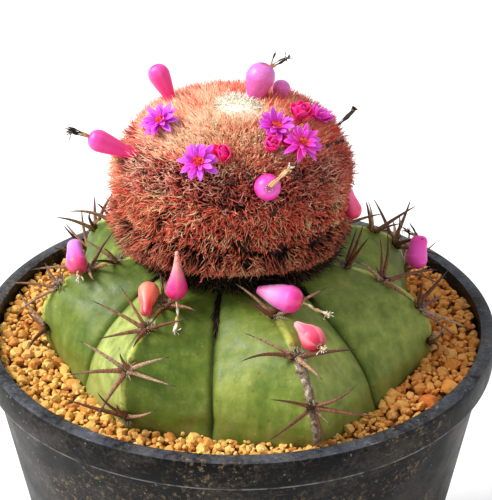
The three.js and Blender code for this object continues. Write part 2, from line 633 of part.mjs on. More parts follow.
add('cap_collar', clearOf(makeCollar(), taken), LOOK.oldWool);
add('cap', clearOf(makeBristles().reduce((body, spike) => body.add(spike), capCore), taken), LOOK.bristle);

export default group;
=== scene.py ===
import math

import bpy
import numpy as np
from mathutils import Matrix, Quaternion, Vector, noise


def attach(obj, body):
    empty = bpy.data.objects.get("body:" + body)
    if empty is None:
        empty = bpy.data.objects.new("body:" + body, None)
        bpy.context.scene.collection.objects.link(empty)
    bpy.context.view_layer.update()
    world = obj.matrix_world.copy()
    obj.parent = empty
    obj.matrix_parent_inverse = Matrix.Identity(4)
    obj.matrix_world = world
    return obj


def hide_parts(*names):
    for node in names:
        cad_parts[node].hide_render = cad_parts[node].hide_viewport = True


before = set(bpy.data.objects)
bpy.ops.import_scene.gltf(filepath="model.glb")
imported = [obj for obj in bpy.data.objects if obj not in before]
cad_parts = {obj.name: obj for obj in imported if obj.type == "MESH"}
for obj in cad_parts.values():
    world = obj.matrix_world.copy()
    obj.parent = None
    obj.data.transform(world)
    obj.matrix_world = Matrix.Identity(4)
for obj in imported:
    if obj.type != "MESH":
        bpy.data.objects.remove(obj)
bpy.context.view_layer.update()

MM = 0.001
UP = np.array([0.0, 0.0, 1.0])


def rows(names, values):
    """A table with its values under their names; names at the end may be left out of a row."""
    return [dict(zip(names.split(), row)) for row in values]


# Pot, in millimetres
POT_HEIGHT = 125
RIM_RADIUS = 77.5
MOUTH_RADIUS = 72.9
BAND_HEIGHT = 9.2
NECK_RADIUS = 74.7
BASE_RADIUS = 54
WALL = 1.7
FLOOR = 2.6
DRAIN_HOLES = 8
DRAIN_RADIUS = 4.5
DRAIN_CIRCLE = 42

# Gravel
BED_TOP = 119.2
GRAIN_TOP = 122.8
GRAIN_LINE = -4.5  # where the loose grains meet the stem, over the rim
GRAIN_FORMS, FINE_FORMS = 10, 7  # forms of grains, and those of them with more faces, for the upper layers
BREAKS = 9  # flat breaks on a grain
# Layers of loose grains: lowest and highest middle, smallest and largest radius, closeness, number of tries
GRAIN_LAYERS = [(BED_TOP + 0.1, BED_TOP + 0.6, 1.3, 1.9, 0.85, 9000),
                (BED_TOP + 1.4, BED_TOP + 2.1, 1.2, 2.3, 0.86, 11000),
                (BED_TOP + 1.9, BED_TOP + 2.6, 0.6, 1.0, 0.8, 2600)]
# Shares of loose grains that are larger than the rest, or orange
LARGER_SHARE = 0.03
ORANGE_SHARE = 0.02
# Large grains: x, y, radius, shade
BIG_GRAINS = [(54.5, -41.5, 3.1, 0.98), (60.5, -34, 2.6, 0.35), (50, -50.5, 2.7, 0.6), (63, -22, 2.6, 0.2),
              (-62, -30, 2.5, 0.5)]

# Stem: heights are over the pot's rim, crests and grooves in degrees from the front to the right
STEM_X = 0.5
STEM_Y = -3.5
STEM_LEAN = -2.4
CREST_TOP = 25.5
CREST_POWER = 2.85
GROOVE_TOP = 29
GROOVE_POWER = 1.6
GROOVE_SHARE = 0.87
STEM_TOP = 24.8
STEM_FOOT = -9.0
RIBS = rows("crest radius groove areoles", [
    (-167, 60, -148, [23.2, 19.4, 11.5, 1]),
    (-129, 62, -106, [23.4, 20, 14, 3]),
    (-84, 58.3, -57, [23.4, 21.2, 16, 1.8]),
    (-31.5, 61, -8, [23.4, 20.9, 13.4, -0.4]),
    (18.5, 65.5, 44, [23.4, 19, 8.8]),
    (77, 58, 98.5, [23.4, 20.2, 12.2, 0.8]),
    (120, 60.5, 139, [23.2, 18.6, 11.6, 1]),
    (158, 60, 175.5, [23.2, 19, 11.5, 1]),
])
STEPS = 2 * len(RIBS)
# The groove in the middle of the front, and the rib with a corky crest below a height, counted from 0
FRONT_GROOVE = 3
CORKY_RIB = 4
CORK_TOP = 20
# How pale the two faces of each rib are, left and right of its crest: painted light above 0.5, painted shade below
FACE_PAINTED_LIGHT = [(0.6, 0.5), (0.4, 0.45), (0.5, 0.25), (1, 0.2), (0.5, 0.75), (0.72, 0.5), (0.6, 0.4), (0.5, 0.6)]

# Spines seen from the front: clock angle round the areole (0 towards the cap, 90 to the right),
# lift from the skin, length
SEEN_SPINES = {
    "spines_2_1": [(30, 30, 14), (15, 55, 14), (-100, 25, 14), (100, 25, 14), (170, 30, 14)],
    "spines_2_2": [(55, 35, 14), (-130, 25, 14), (35, 10, 12), (-80, 25, 14), (120, 30, 14)],
    "spines_2_3": [(30, 10, 12), (75, 30, 15), (-100, 45, 14), (-60, 25, 14)],
    "spines_3_1": [(-125, 12, 14), (120, 30, 14), (100, 45, 14)],
    "spines_3_2": [(-20, 30, 13), (180, 22, 17), (80, 11, 14), (46, 12, 14)],
    "spines_3_3": [(-100, 12, 14), (-165, 43, 15), (160, 18, 15)],
    "spines_3_4": [(-95, 23, 14), (85, 20, 14), (-30, 30, 13)],
    "spines_4_1": [(-36, 25, 13), (100, 16, 13), (165, 15, 12), (120, 40, 14)],
    "spines_4_2": [(-105, 36, 17), (-143, 17, 14), (73, 20, 14), (-61, 33, 14), (170, 15, 9)],
    "spines_4_3": [(-75, 24, 15), (-117, 31, 16), (-169, 15, 15), (90, 5, 17), (62, 8, 15), (46, 66, 13)],
    "spines_4_4": [(-65, 20, 17), (-13, 20, 14), (53, 6, 17), (18, 25, 14)],
    "spines_5_1": [(-50, 30, 15), (-102, 40, 14), (92, 28, 16), (8, 60, 9)],
    "spines_5_2": [(-56, 12, 15), (-90, 8, 16), (104, 15, 16), (170, 24, 13)],
    "spines_5_3": [(-67, 19, 14), (-112, 10, 16), (62, 32, 14), (105, 24, 16), (176, 17, 10)],
    "spines_6_1": [(140, 80, 14), (-147, 67, 14), (90, 35, 13)],
    "spines_6_2": [(60, 46, 14), (10, 60, 13), (160, 31, 16), (-38, 25, 14), (-133, 14, 14)],
    "spines_6_3": [(38, 64, 14), (-169, 21, 14), (175, 32, 16), (-36, 33, 14), (110, 10, 14)],
    "spines_6_4": [(-44, 21, 14), (95, 15, 13), (-71, 17, 14)],
    "spines_7_2": [(180, 45, 16), (-17, 38, 14), (106, 25, 14), (-80, 30, 14)],
}
# Other clusters: clock angles of a ring of five spines, drawn together towards the cap on the lowest areoles
FAN_CLOCKS = [-140, -80, -25, 50, 110]
LOW_AREOLE = 5
LOW_CLOCK_SHARE = 0.6
WOOLLY_AREOLES = ("spines_3_2", "spines_5_2", "spines_6_2")
PAD_HAIRS = 90

# Cap
CAP_X = -1.9
CAP_Y = -2.3
CAP_LEAN = 1.7
COLLAR_BOTTOM = STEM_TOP + 0.3
COLLAR_TOP = 31.3
CAP_WIDEST = 36.9
CAP_TOP = 68.2
CAP_RADIUS = 32.6
CAP_POWER = 3.16
CAP_UNDER = 9
CAP_LINE = 61  # length of its outline from top to foot
CROWN_RADIUS = 8.2
WOOL_RADIUS = 6.8
WOOL_BACK = 3.4
CROWN_HAIRS = 1600
COLLAR_HAIRS = 4700
# Threads of old wool in the top of a groove, and how far down they start; then the same for the front groove
GROOVE_THREADS = [(40, 2.5), (80, 5)]
GOLDEN_TURN = 2.39996

FLOWER_REACH = 5.6
PETAL_WALL = 0.16
STAMENS = 60

# Flowers and buds: lift is how far their petals rise from flat, in degrees, warmth how crimson they are
FLOWERS = rows("at faces lift turn recurve warmth", [
    ((-21, -12.2, 194.1), (-0.4, -0.42, 0.82), 40, 10, 0.3, 0.05),
    ((-10.4, -31.4, 190.4), (-0.15, -0.7, 0.7), 20, 40, 0.08, 0.12),
    ((10.6, -19.4, 195.4), (0.1, -0.35, 0.93), 28, 0, 0.02, 0.2),
    ((17.5, -23.5, 192.5), (0.35, -0.5, 0.79), 24, 70, 0.26, 0.4),
    ((22, -3.8, 190.6), (0.5, 0.0, 0.86), 54, 20, 0.05, 0.4),
])
BUDS = rows("at faces radius lift warmth", [
    ((-3.9, -28.4, 191.6), (-0.1, -0.6, 0.8), 2.6, 76, 1.0),
    ((17.4, -8.9, 195), (0.3, -0.2, 0.93), 2.7, 62, 0.95),
    ((9.3, -25, 192.8), (0.2, -0.5, 0.84), 2.3, 72, 0.85),
    ((13.6, -21.9, 192.6), (0.25, -0.45, 0.86), 1.8, 66, 0.95),
])
# Berries: middles of the narrow and the fat end, radius at each, skin; shares are how much of the swelling is
# there at a third and at two thirds of the length
FRUITS = rows("narrow fat thin radius skin shares", [
    ((-17.9, 5.2, 190.6), (-22.6, 7.5, 200.6), 1.3, 3.1, "hot"),
    ((-27.5, -10.4, 182.9), (-39, -11.4, 188.3), 1.5, 3.1, "hot"),
    ((4.3, 5.4, 190.8), (6.8, 6.6, 200.2), 2, 4.2, "matt"),
    ((12, 8.2, 190), (12.6, 10, 195.2), 1.7, 2.6, "matt"),
    ((6.2, -29, 182.4), (7.8, -37, 185.8), 1.7, 3.6, "ringed"),
    ((31.6, -5.6, 169.8), (33.3, -5.6, 163.4), 1.5, 2.7, "red_end"),
    ((-47.9, -4.5, 152), (-46.5, -11.3, 148.9), 2.2, 3.1, "violet"),
    ((-25.4, -38.5, 148.3), (-24.9, -30.7, 150.5), 1.6, 3.0, "coral", (0.08, 0.66)),
    ((-16.7, -33.8, 164.6), (-17.2, -34.6, 153.3), 0.6, 3.0, "pale", (0.24, 0.58)),
    ((5.8, -36.2, 154), (14.3, -38.3, 152.4), 1.4, 3.9, "blush", (0.45, 0.8)),
    ((16.1, -44, 147.6), (20.2, -50.8, 146.7), 1.1, 3.5, "streaked", (0.28, 0.68)),
    ((55.9, 17.8, 141.8), (55.2, 14, 137), 2.6, 3.2, "rose"),
])
# Widths of the dried rings on the berries' ends, where they aren't of the usual width
SCAR_WIDTHS = {1: 0.15, 4: 0.15, 5: 0.85, 10: 0.6, 11: 0.6}
USUAL_SCAR = 0.4
SCAR_HAIRS = 12
STRAW_SCARS = (5, 7, 9, 10, 11)
# Dried flower left on a berry: its look, where it starts, the places it passes or ends at, and its thickness
REMNANTS = {
    2: ("black_remnants", (-41.5, -11.2, 189.4), [(-47.8, -9.7, 191.7), (-47, -10.3, 190.3)], 0.42),
    3: ("black_remnants", (9.5, 7.4, 202.4), [(11.2, 8.6, 206.9), (14.4, 8.7, 204.9)], 0.42),
    5: ("straw_remnants", (8.4, -40.6, 187.8), [(13.8, -35.6, 190.7)], 0.45),
    7: ("straw_remnants", (-46.1, -13.8, 148), [(-45.8, -15.2, 146.8)], 0.35),
    9: ("straw_remnants", (-17.2, -34.9, 150.8), [(-16.8, -39.6, 147.6), (-17.4, -43.6, 144.6)], 0.4),
    10: ("straw_remnants", (17.3, -39.1, 151.9), [(21, -39.8, 150), (25.3, -40.5, 148.2)], 0.42),
    11: ("straw_remnants", (21.6, -53.2, 146.3), [(22.4, -54.4, 145.7)], 0.4),
    12: ("black_remnants", (55.2, 17.6, 142.8), [(52.9, 19.6, 146.5), (51.6, 18.8, 144.6)], 0.42),
}
PALE_REMNANTS = (9, 10)
TUFT = 14  # short hairs at the end of a dried flower
# Small bits of dried flowers caught between the bristles: place, direction, length
DRY_BITS = [
    ((-24.9, -24.5, 183.8), (-0.66, -0.62, 0.42), 2.2), ((-14.2, -31.2, 185.4), (-0.36, -0.8, 0.48), 2.6),
    ((2, -32.5, 187.4), (0.08, -0.81, 0.58), 2.4), ((-1.8, -33.8, 185.7), (-0.02, -0.87, 0.49), 1.8),
    ((-27.6, -16.6, 185.6), (-0.6, -0.6, 0.1), 2.4), ((26.3, -13.7, 188.2), (0.85, -0.3, 0.42), 2.8),
    ((24.5, -16.9, 188.6), (0.67, -0.38, 0.63), 2.0), ((15.5, -28.9, 185.7), (0.47, -0.74, 0.48), 2.2),
    ((22.6, -25, 182.6), (0.68, -0.65, 0.33), 2.2), ((8.7, -35.1, 177.3), (0.29, -0.94, 0.16), 2.0),
    ((3, 31.5, 182), (0.1, 0.9, 0.3), 2.2), ((-12, 30, 178), (-0.4, 0.9, 0.2), 2.4),
]
DRIED_FLOWER = dict(root=(26, 1.6, 184.6), tip=(33.8, 3.6, 191.4))


# Finishes

class Term:
    """A value that varies over a surface, joined to others with ordinary operators."""

    def __init__(self, look, socket):
        self.look = look
        self.socket = socket

    def joined(self, operation, *others):
        return self.look.node("ShaderNodeMath", dict(operation=operation), dict(enumerate(others)))


for name, operation in (("add", "ADD"), ("sub", "SUBTRACT"), ("mul", "MULTIPLY"), ("pow", "POWER")):
    setattr(Term, f"__{name}__", lambda own, other, operation=operation: own.joined(operation, own, other))
    setattr(Term, f"__r{name}__", lambda own, other, operation=operation: own.joined(operation, other, own))


def spelled(word):
    """Name of a shader's socket from a keyword."""
    return word.replace("_", " ").title().replace("Ior", "IOR")


class Look:
    """One finish of the plant or its pot."""

    def __init__(self, name, roughness=0.6, **steady):
        self.material = bpy.data.materials.new(name)
        self.material.use_nodes = True
        self.tree = self.material.node_tree
        self.shader = self.tree.nodes["Principled BSDF"]
        self.shader.inputs["Roughness"].default_value = roughness
        for socket, value in steady.items():
            self.shader.inputs[spelled(socket)].default_value = value
        self.places = None

    def feed(self, socket, value):
        if isinstance(value, Term):
            self.tree.links.new(value.socket, socket)
        elif socket.type == "RGBA":
            socket.default_value = tone(*value)
        else:
            socket.default_value = value

    def node(self, kind, settings=None, inputs=None, output=0):
        made = self.tree.nodes.new(kind)
        for key, value in (settings or {}).items():
            setattr(made, key, value)
        for key, value in (inputs or {}).items():
            self.feed(made.inputs[key], value)
        return Term(self, made.outputs[output])

    def set(self, **parts):
        for socket, value in parts.items():
            self.feed(self.shader.inputs[spelled(socket)], value)
        return self

    def place(self):
        self.places = self.places or self.node("ShaderNodeTexCoord", output="Object")
        return self.places

    def axis(self, name):
        return self.node("ShaderNodeSeparateXYZ", None, {0: self.place()}, name)

    def upward(self):
        normal = self.node("ShaderNodeNewGeometry", output="Normal")
        return self.node("ShaderNodeSeparateXYZ", None, {0: normal}, "Z")

    def along(self, name):
        return self.node("ShaderNodeAttribute", dict(attribute_name=name), output="Fac")

    def stretched(self, x, y, z):
        return self.node("ShaderNodeMapping", None, {"Vector": self.place(), "Scale": (x, y, z)})

    def cloud(self, size, detail=3.0, rough=0.55, where=None):
        """Soft noise with blotches of about the size given in millimetres."""
        inputs = {"Vector": where or self.place(), "Scale": 1 / (size * MM), "Detail": detail, "Roughness": rough}
        return self.node("ShaderNodeTexNoise", None, inputs)

    def dots(self, cell, wide, sharp, area, low, high):
        """Round dots, one in each cell, kept only in some areas; cell and area are sizes in millimetres."""
        cells = self.node("ShaderNodeTexVoronoi", None, {"Vector": self.place(), "Scale": 1 / (cell * MM)})
        return self.rise(cells, wide, sharp) * self.rise(self.cloud(area), low, high)

    def rise(self, value, low, high, bottom=0.0, top=1.0):
        """Smooth step of a value from low to high."""
        inputs = {0: value, 1: low, 2: high, 3: bottom, 4: top}
        return self.node("ShaderNodeMapRange", dict(interpolation_type="SMOOTHSTEP"), inputs)

    def mix(self, share, first, second):
        return self.node("ShaderNodeMix", dict(data_type="RGBA"), {0: share, 6: first, 7: second}, 2)

    def bands(self, value, *stops):
        """Colour through [share, colour] stops."""
        made = self.node("ShaderNodeValToRGB", None, {0: value})
        ramp = made.socket.node.color_ramp
        while len(ramp.elements) < len(stops):
            ramp.elements.new(0.5)
        for element, (share, colour) in zip(ramp.elements, stops):
            element.position = share
            element.color = tone(*colour)
        return made

    def bump(self, height, depth, strength=1.0):
        """Relief from a height of 0 to 1; depth in millimetres."""
        inputs = {"Height": height, "Distance": depth * MM, "Strength": strength}
        return self.set(Normal=self.node("ShaderNodeBump", None, inputs))


def tone(*screen):
    """Linear colour with its alpha from a screen colour; all colours here are screen colours of 0 to 255."""
    return (*(((c / 255 + 0.055) / 1.055) ** 2.4 if c > 10 else c / 255 / 12.92 for c in screen), 1)


def plastic_look():
    look = Look("black_pot_plastic", specular_ior_level=0.12)
    dust, fine = look.cloud(14, 5, 0.65), look.cloud(1.1, 3, 0.7)
    flat = look.rise(look.upward(), 0.2, 0.95)
    scuffs = look.rise(look.cloud(1.6, 4, 0.7, look.stretched(0.3, 0.3, 2.6)), 0.6, 0.74)
    body = look.mix(look.rise(dust, 0.35, 0.7), (2, 2, 3), (7, 7, 8))
    # Faces turned upwards get dust and a painted bluish sheen together, brightest on the rim's top
    dust_and_sheen = look.mix(flat * 0.4 * look.rise(fine * 0.35 + dust * 0.65, 0.3, 0.7), body, (126, 132, 144))
    film = look.rise(look.cloud(20, 6, 0.7, look.stretched(1, 1, 1.6)) * 0.6 + fine * 0.4, 0.46, 0.62)
    filmed = look.mix(film * 0.1, dust_and_sheen, (150, 138, 122))
    scratched = look.mix(scuffs * (0.16 + 0.4 * flat), filmed, (160, 164, 172))
    # Painted highlight along the lower edge of the rim's band, broken up by noise
    painted_edge_highlight = look.along("edge") * look.rise(look.cloud(5, 3), 0.3, 0.6)
    lined = look.mix(painted_edge_highlight * 0.7, scratched, (158, 158, 154))
    splashes = look.rise(look.cloud(1.8, 5, 0.78), 0.53, 0.64) * look.rise(look.cloud(26, 3), 0.44, 0.62)
    muddy = look.mix(splashes * 0.55, lined, (146, 120, 84))
    specks = look.dots(2.2, 0.14, 0.06, 9, 0.46, 0.58)
    look.set(Base_Color=look.mix(specks * 0.5, muddy, (176, 168, 150)))
    look.set(Roughness=look.rise(dust + fine * 0.3, 0.4, 0.9, 0.34, 0.54))
    return look.bump(fine * 0.6 + look.cloud(0.35, 2) * 0.4, 0.12, 0.5)


def skin_look():
    look = Look("green_waxy_skin", specular_ior_level=0.22)
    crest, groove, cork = look.along("crest"), look.along("groove"), look.along("cork")
    wide, middle, fine = look.cloud(30, 3), look.cloud(5, 5, 0.65), look.cloud(0.9, 3, 0.6)
    streaks = look.cloud(3.5, 4, 0.6, look.stretched(1, 1, 0.28))
    green = look.bands(wide * 0.45 + middle * 0.25 + streaks * 0.3, (0.4, (78, 98, 30)),
                       (0.48, (104, 122, 42)), (0.54, (124, 138, 54)), (0.6, (150, 158, 74)))
    # Painted light and shade: faces kept pale above 0.5 are painted lighter and yellower, faces below 0.5 deeper
    # green
    pale = look.along("pale")
    deep = look.mix((1 - pale) ** 2 * 0.5, green, (70, 92, 26))
    painted_face_light = look.mix(look.rise(pale, 0.5, 1) * (0.25 + 0.45 * look.rise(middle, 0.3, 0.7)), deep,
                     (196, 206, 118))
    frosted = look.mix(look.rise(fine * 0.5 + middle * 0.5, 0.52, 0.68) * 0.16, painted_face_light, (176, 184, 116))
    near_gravel, under_cap = look.rise(look.axis("Z"), 0.131, 0.121), look.rise(look.axis("Z"), 0.138, 0.15)
    shaded = look.mix(under_cap * 0.4, frosted, (74, 90, 34))
    earthy = look.mix(near_gravel * look.rise(middle, 0.3, 0.6) * 0.45, shaded, (112, 96, 54))
    edge = look.rise(crest, 0.45, 0.95)
    # Painted highlight: a pale yellow line along each crest
    painted_crest_highlight = look.mix(edge * (0.4 + 0.6 * look.rise(middle, 0.35, 0.65)), earthy, (196, 202, 96))
    corky = look.mix(edge * look.rise(look.cloud(2.2, 4, 0.7), 0.56, 0.62) * 0.8, painted_crest_highlight, (120, 92, 60))
    back = look.rise(look.axis("X") + look.axis("Y") * 0.5, 0.03, 0.06)
    brown = look.rise(look.cloud(8, 5, 0.7), 0.6, 0.68) * (0.1 + 0.9 * back) * look.rise(crest, 0.1, 0.7)
    marked = look.mix(brown * 0.8, corky, (126, 98, 58))
    scars = look.rise(look.cloud(3, 4, 0.7, look.stretched(0.6, 0.6, 1.6)), 0.66, 0.7)
    scars *= look.rise(look.cloud(22, 2), 0.5, 0.6)
    scarred = look.mix(scars * 0.5, marked, (158, 148, 92))
    specks = look.dots(2.4, 0.12, 0.05, 7, 0.5, 0.6)
    specked = look.mix(specks * 0.4, scarred, (196, 198, 150))
    spots = look.dots(5.5, 0.12, 0.06, 12, 0.48, 0.56)
    spotted = look.mix(spots * 0.6, specked, (110, 76, 34))
    # Painted shade: the grooves darkened to near-black green
    painted_groove_shade = look.mix(groove * 0.85, spotted, (38, 44, 16))
    bark = look.bands(look.cloud(1.6, 5, 0.7), (0.35, (70, 52, 40)), (0.52, (140, 122, 100)),
                      (0.66, (200, 190, 168)))
    look.set(Base_Color=look.mix(look.rise(cork + (middle - 0.5) * 0.5, 0.35, 0.55), painted_groove_shade, bark))
    look.set(Roughness=look.rise(middle + cork * 0.5 + groove * 0.8, 0.3, 0.9, 0.34, 0.8))
    relief = middle * 0.4 + streaks * 0.3 + fine * 0.08 + brown * 0.3 + cork * look.cloud(1.2, 4, 0.7) * 1.6
    return look.bump(relief, 0.7, 0.5)


def gravel_look():
    look = Look("yellow_gravel", roughness=0.9)
    chance = look.along("chance")
    stone = look.bands(chance, (0.0, (204, 132, 54)), (0.2, (228, 162, 76)), (0.5, (244, 190, 96)),
                       (0.75, (250, 204, 110)), (0.9, (252, 210, 126)), (0.96, (228, 140, 66)),
                       (1.0, (206, 100, 50)))
    rough, pits = look.cloud(1.4, 5, 0.7), look.cloud(0.35, 3, 0.7)
    # Painted shade colour: stones on the right, in the plant's shadow, turned more orange
    shade_tinted_stone = look.mix(look.rise(look.axis("X"), 0.02, 0.055) * 0.4, stone, (236, 128, 44))
    # Painted shade: grains darker in the dips of their relief
    painted_dip_shade = look.mix(0.3, shade_tinted_stone, (150, 84, 26))
    look.set(Base_Color=look.mix(look.rise(rough * 0.6 + pits * 0.4, 0.36, 0.6), painted_dip_shade, shade_tinted_stone))
    return look.bump(rough * 0.7 + pits * 0.3, 0.45, 0.9)


def bed_look():
    look = Look("dark_damp_soil", roughness=0.95)
    rough = look.cloud(1.6, 5, 0.7)
    look.set(Base_Color=look.bands(rough, (0.35, (76, 46, 18)), (0.65, (146, 96, 42))))
    return look.bump(rough, 0.8)


def strand_look(name):
    """Bristles, wool or threads: all alike at the root, then each strand in a shade of its own."""
    look = Look(name, roughness=0.7, specular_ior_level=0.25)
    root, *shades = STRAND_SHADES[name]
    stops = [(i / (len(shades) - 1), shade) for i, shade in enumerate(shades)]
    shade = look.bands(look.along("chance") + (look.cloud(1.2, 2) - 0.5) * 0.12, *stops)
    coloured = look.mix(look.rise(look.along("along"), *OWN_SHADE_FROM.get(name, (0.1, 0.8))), root, shade)
    if name in TIP_SHADES:
        coloured = look.mix(look.rise(look.along("along"), 0.5, 0.95) * 0.58, coloured, TIP_SHADES[name])
    look.set(Base_Color=coloured)
    return look


def spine_look():
    look = Look("woody_spines", specular_ior_level=0.45)
    chance, along = look.along("chance"), look.along("along")
    own = look.bands(chance, (0.0, (84, 40, 22)), (0.45, (124, 70, 42)), (0.7, (186, 138, 98)),
                     (1.0, (222, 190, 152)))
    length = look.bands(along + (look.cloud(1.5, 3) - 0.5) * 0.3, (0.0, (50, 26, 16)), (0.1, (146, 90, 54)),
                        (0.55, (110, 58, 34)), (0.85, (36, 20, 15)))
    scales = look.rise(look.cloud(0.6, 3, 0.7), 0.46, 0.56) * 0.6
    scaly = look.mix(scales, look.mix(0.55, length, own), (52, 27, 17))
    look.set(Base_Color=look.mix(look.rise(along, 0.7, 0.95), scaly, (34, 19, 13)))
    look.set(Roughness=look.rise(look.cloud(1.2), 0.3, 0.7, 0.4, 0.7))
    return look.bump(look.cloud(0.5, 3, 0.7), 0.15, 0.6)


def petal_look():
    look = Look("magenta_petals", roughness=0.5, subsurface_weight=0.1, subsurface_scale=0.001)
    along, side, chance = look.along("along"), look.along("across"), look.along("chance")
    violet = look.bands(along, (0.0, (226, 24, 124)), (0.25, (222, 26, 186)), (0.65, (206, 50, 236)),
                        (1.0, (226, 108, 250)))
    crimson = look.bands(along, (0.0, (206, 16, 70)), (0.4, (255, 8, 104)), (1.0, (255, 40, 150)))
    blade = look.mix(chance, violet, crimson)
    veins = look.rise(look.cloud(0.45, 2), 0.42, 0.6)
    pale = (look.rise(side, 0.55, 1.0) * 0.22 + veins * 0.1) * (1.1 - chance)
    look.set(Base_Color=look.mix(pale, blade, (240, 140, 246)))
    return look.bump(veins, 0.08, 0.4)


# Colours of each berry skin from its narrow end (0) to its fat end (1)
BERRY_SHADES = {
    "hot": [(0, (232, 44, 120)), (0.3, (240, 38, 142)), (0.8, (244, 58, 158)), (1, (240, 84, 186))],
    "matt": [(0, (240, 90, 160)), (0.4, (234, 96, 186)), (1, (228, 120, 208))],
    "ringed": [(0, (214, 30, 110)), (0.7, (226, 20, 116)), (0.85, (230, 40, 166)), (1, (240, 90, 206))],
    "red_end": [(0, (250, 110, 176)), (0.5, (252, 80, 140)), (0.85, (236, 40, 88)), (1, (140, 20, 36))],
    "violet": [(0, (218, 146, 238)), (0.4, (228, 112, 220)), (0.72, (240, 76, 150)), (1, (226, 50, 96))],
    "rose": [(0, (255, 60, 186)), (0.5, (255, 86, 206)), (1, (255, 66, 192))],
    "coral": [(0, (230, 50, 74)), (0.3, (238, 96, 84)), (0.65, (242, 140, 110)), (1, (240, 136, 112))],
    "pale": [(0, (252, 176, 164)), (0.3, (250, 160, 160)), (0.46, (244, 100, 150)), (0.66, (244, 40, 136)),
             (1, (226, 14, 96))],
    "blush": [(0, (252, 110, 190)), (0.25, (255, 170, 226)), (0.55, (255, 120, 214)), (0.8, (246, 50, 164)),
              (1, (226, 14, 84))],
    "streaked": [(0, (248, 170, 176)), (0.35, (246, 110, 136)), (0.8, (244, 74, 110)), (1, (214, 24, 70))],
}


def berry_look(kind):
    look = Look(f"berry_{kind}", coat_weight=0.08, coat_roughness=0.3, subsurface_weight=0.12,
                subsurface_scale=0.003)
    along, streak = look.along("along"), look.along("streak")
    cloudy, fine = look.cloud(3.2, 3), look.cloud(0.5, 3)
    skin = look.bands(along + (cloudy - 0.5) * 0.3, *BERRY_SHADES[kind])
    old = kind in ("coral", "streaked")
    paler = look.mix(look.rise(streak, 0.45, 0.9) * (0.32 if old else 0.06), skin, (252, 206, 200))
    speckled = look.mix(look.rise(fine, 0.52, 0.7) * (0.3 if kind == "matt" else 0.06), paler, (250, 200, 226))
    look.set(Base_Color=look.mix(look.rise(along, 0.965, 1.0) * 0.6, speckled, (110, 30, 50)))
    look.set(Roughness=look.rise(cloudy, 0.3, 0.7, 0.36, 0.5))
    return look.bump(cloudy * 0.4 + streak * (0.8 if old else 0.05), 0.3, 0.5)


def floor_look():
    look = Look("pale_floor", roughness=0.9)
    look.set(Base_Color=look.mix(look.cloud(60, 2) * 0.1, (250, 250, 250), (244, 244, 244)))
    return look


# Colour at the root, then the shades that single strands take
STRAND_SHADES = {
    "dome_bristles": [(255, 220, 180), (222, 54, 56), (255, 120, 98), (255, 192, 152), (255, 230, 182),
                      (255, 246, 214)],
    "dome_wool": [(255, 176, 140), (252, 156, 126), (255, 210, 166), (255, 240, 206)],
    "middle_wool": [(140, 74, 62), (144, 74, 64), (188, 102, 86), (220, 146, 122)],
    "middle_bristles": [(146, 76, 64), (136, 66, 56), (192, 96, 80), (228, 94, 82), (242, 124, 106),
                        (212, 146, 122), (250, 204, 178)],
    # The dark roots of the side and foot bristles are painted shade deep in the bristle mass
    "side_bristles": [(46, 25, 19), (78, 44, 32), (148, 92, 60), (200, 126, 80), (234, 104, 78), (248, 82, 76),
                      (250, 154, 120), (236, 194, 142)],
    "foot_bristles": [(26, 14, 10), (56, 33, 25), (130, 75, 56), (188, 100, 72), (228, 112, 86), (208, 160, 116)],
    "crown_wool": [(252, 240, 206), (253, 246, 222), (255, 250, 236), (255, 254, 246)],
    "old_wool": [(14, 9, 6), (14, 10, 7), (28, 19, 14), (54, 38, 27), (128, 96, 62)],
    "cap_core": [(90, 50, 40), (44, 24, 18), (110, 60, 46), (255, 196, 160)],
    "areole_wool": [(96, 80, 62), (120, 100, 78), (190, 178, 156), (246, 243, 234)],
    "black_remnants": [(190, 144, 96), (26, 22, 20), (50, 42, 36)],
    "dry_flower_bits": [(50, 34, 26), (24, 18, 15), (46, 34, 27)],
    "straw_remnants": [(214, 174, 112), (224, 188, 124), (240, 220, 180), (252, 248, 236)],
    "stamens": [(226, 50, 80), (240, 70, 60), (246, 104, 60), (250, 160, 90)],
}
# Share of a strand's length over which the root's colour gives way to its own, where it isn't the usual one
OWN_SHADE_FROM = {"dome_bristles": (0.05, 0.6), "side_bristles": (0.2, 0.75), "foot_bristles": (0.2, 0.75),
                  "black_remnants": (0.2, 0.4)}
TIP_SHADES = {"dome_bristles": (248, 76, 60)}
LOOKS = {"plastic": plastic_look(), "skin": skin_look(), "gravel": gravel_look(), "bed": bed_look(),
         "spine": spine_look(), "petal": petal_look()}
LOOKS.update({name: strand_look(name) for name in STRAND_SHADES})
LOOKS["floor"] = floor_look()
LOOKS.update({f"berry_{kind}": berry_look(kind) for kind in BERRY_SHADES})


# Modelling helpers

def seeded_draws(seed):
    """Endless draws of 0 to 1, the same ones each time for a seed."""
    state = seed
    while True:
        state = (state * 1664525 + 1013904223) % 4294967296
        yield state / 4294967296


def alone():
    """Leaves nothing selected, so that an operator acts on one piece only."""
    if bpy.context.mode != "OBJECT":
        bpy.ops.object.mode_set(mode="OBJECT")
    bpy.ops.object.select_all(action="DESELECT")


def take(piece):
    alone()
    piece.select_set(True)
    bpy.context.view_layer.objects.active = piece
    return piece


def pick(piece, kind, test):
    """Opens a piece for editing with those points, edges or faces selected that pass a test."""
    take(piece)
    mesh = piece.data
    for parts in (mesh.vertices, mesh.edges, mesh.polygons):
        parts.foreach_set("select", [False] * len(parts))
    if kind == "VERT":
        for point in mesh.vertices:
            point.select = test(point.co)
    elif kind == "EDGE":
        for edge in mesh.edges:
            edge.select = test(*(mesh.vertices[i].co for i in edge.vertices))
    else:
        for face in mesh.polygons:
            face.select = test(face.center, face.normal)
    bpy.context.tool_settings.mesh_select_mode = (kind == "VERT", kind == "EDGE", kind == "FACE")
    bpy.ops.object.mode_set(mode="EDIT")


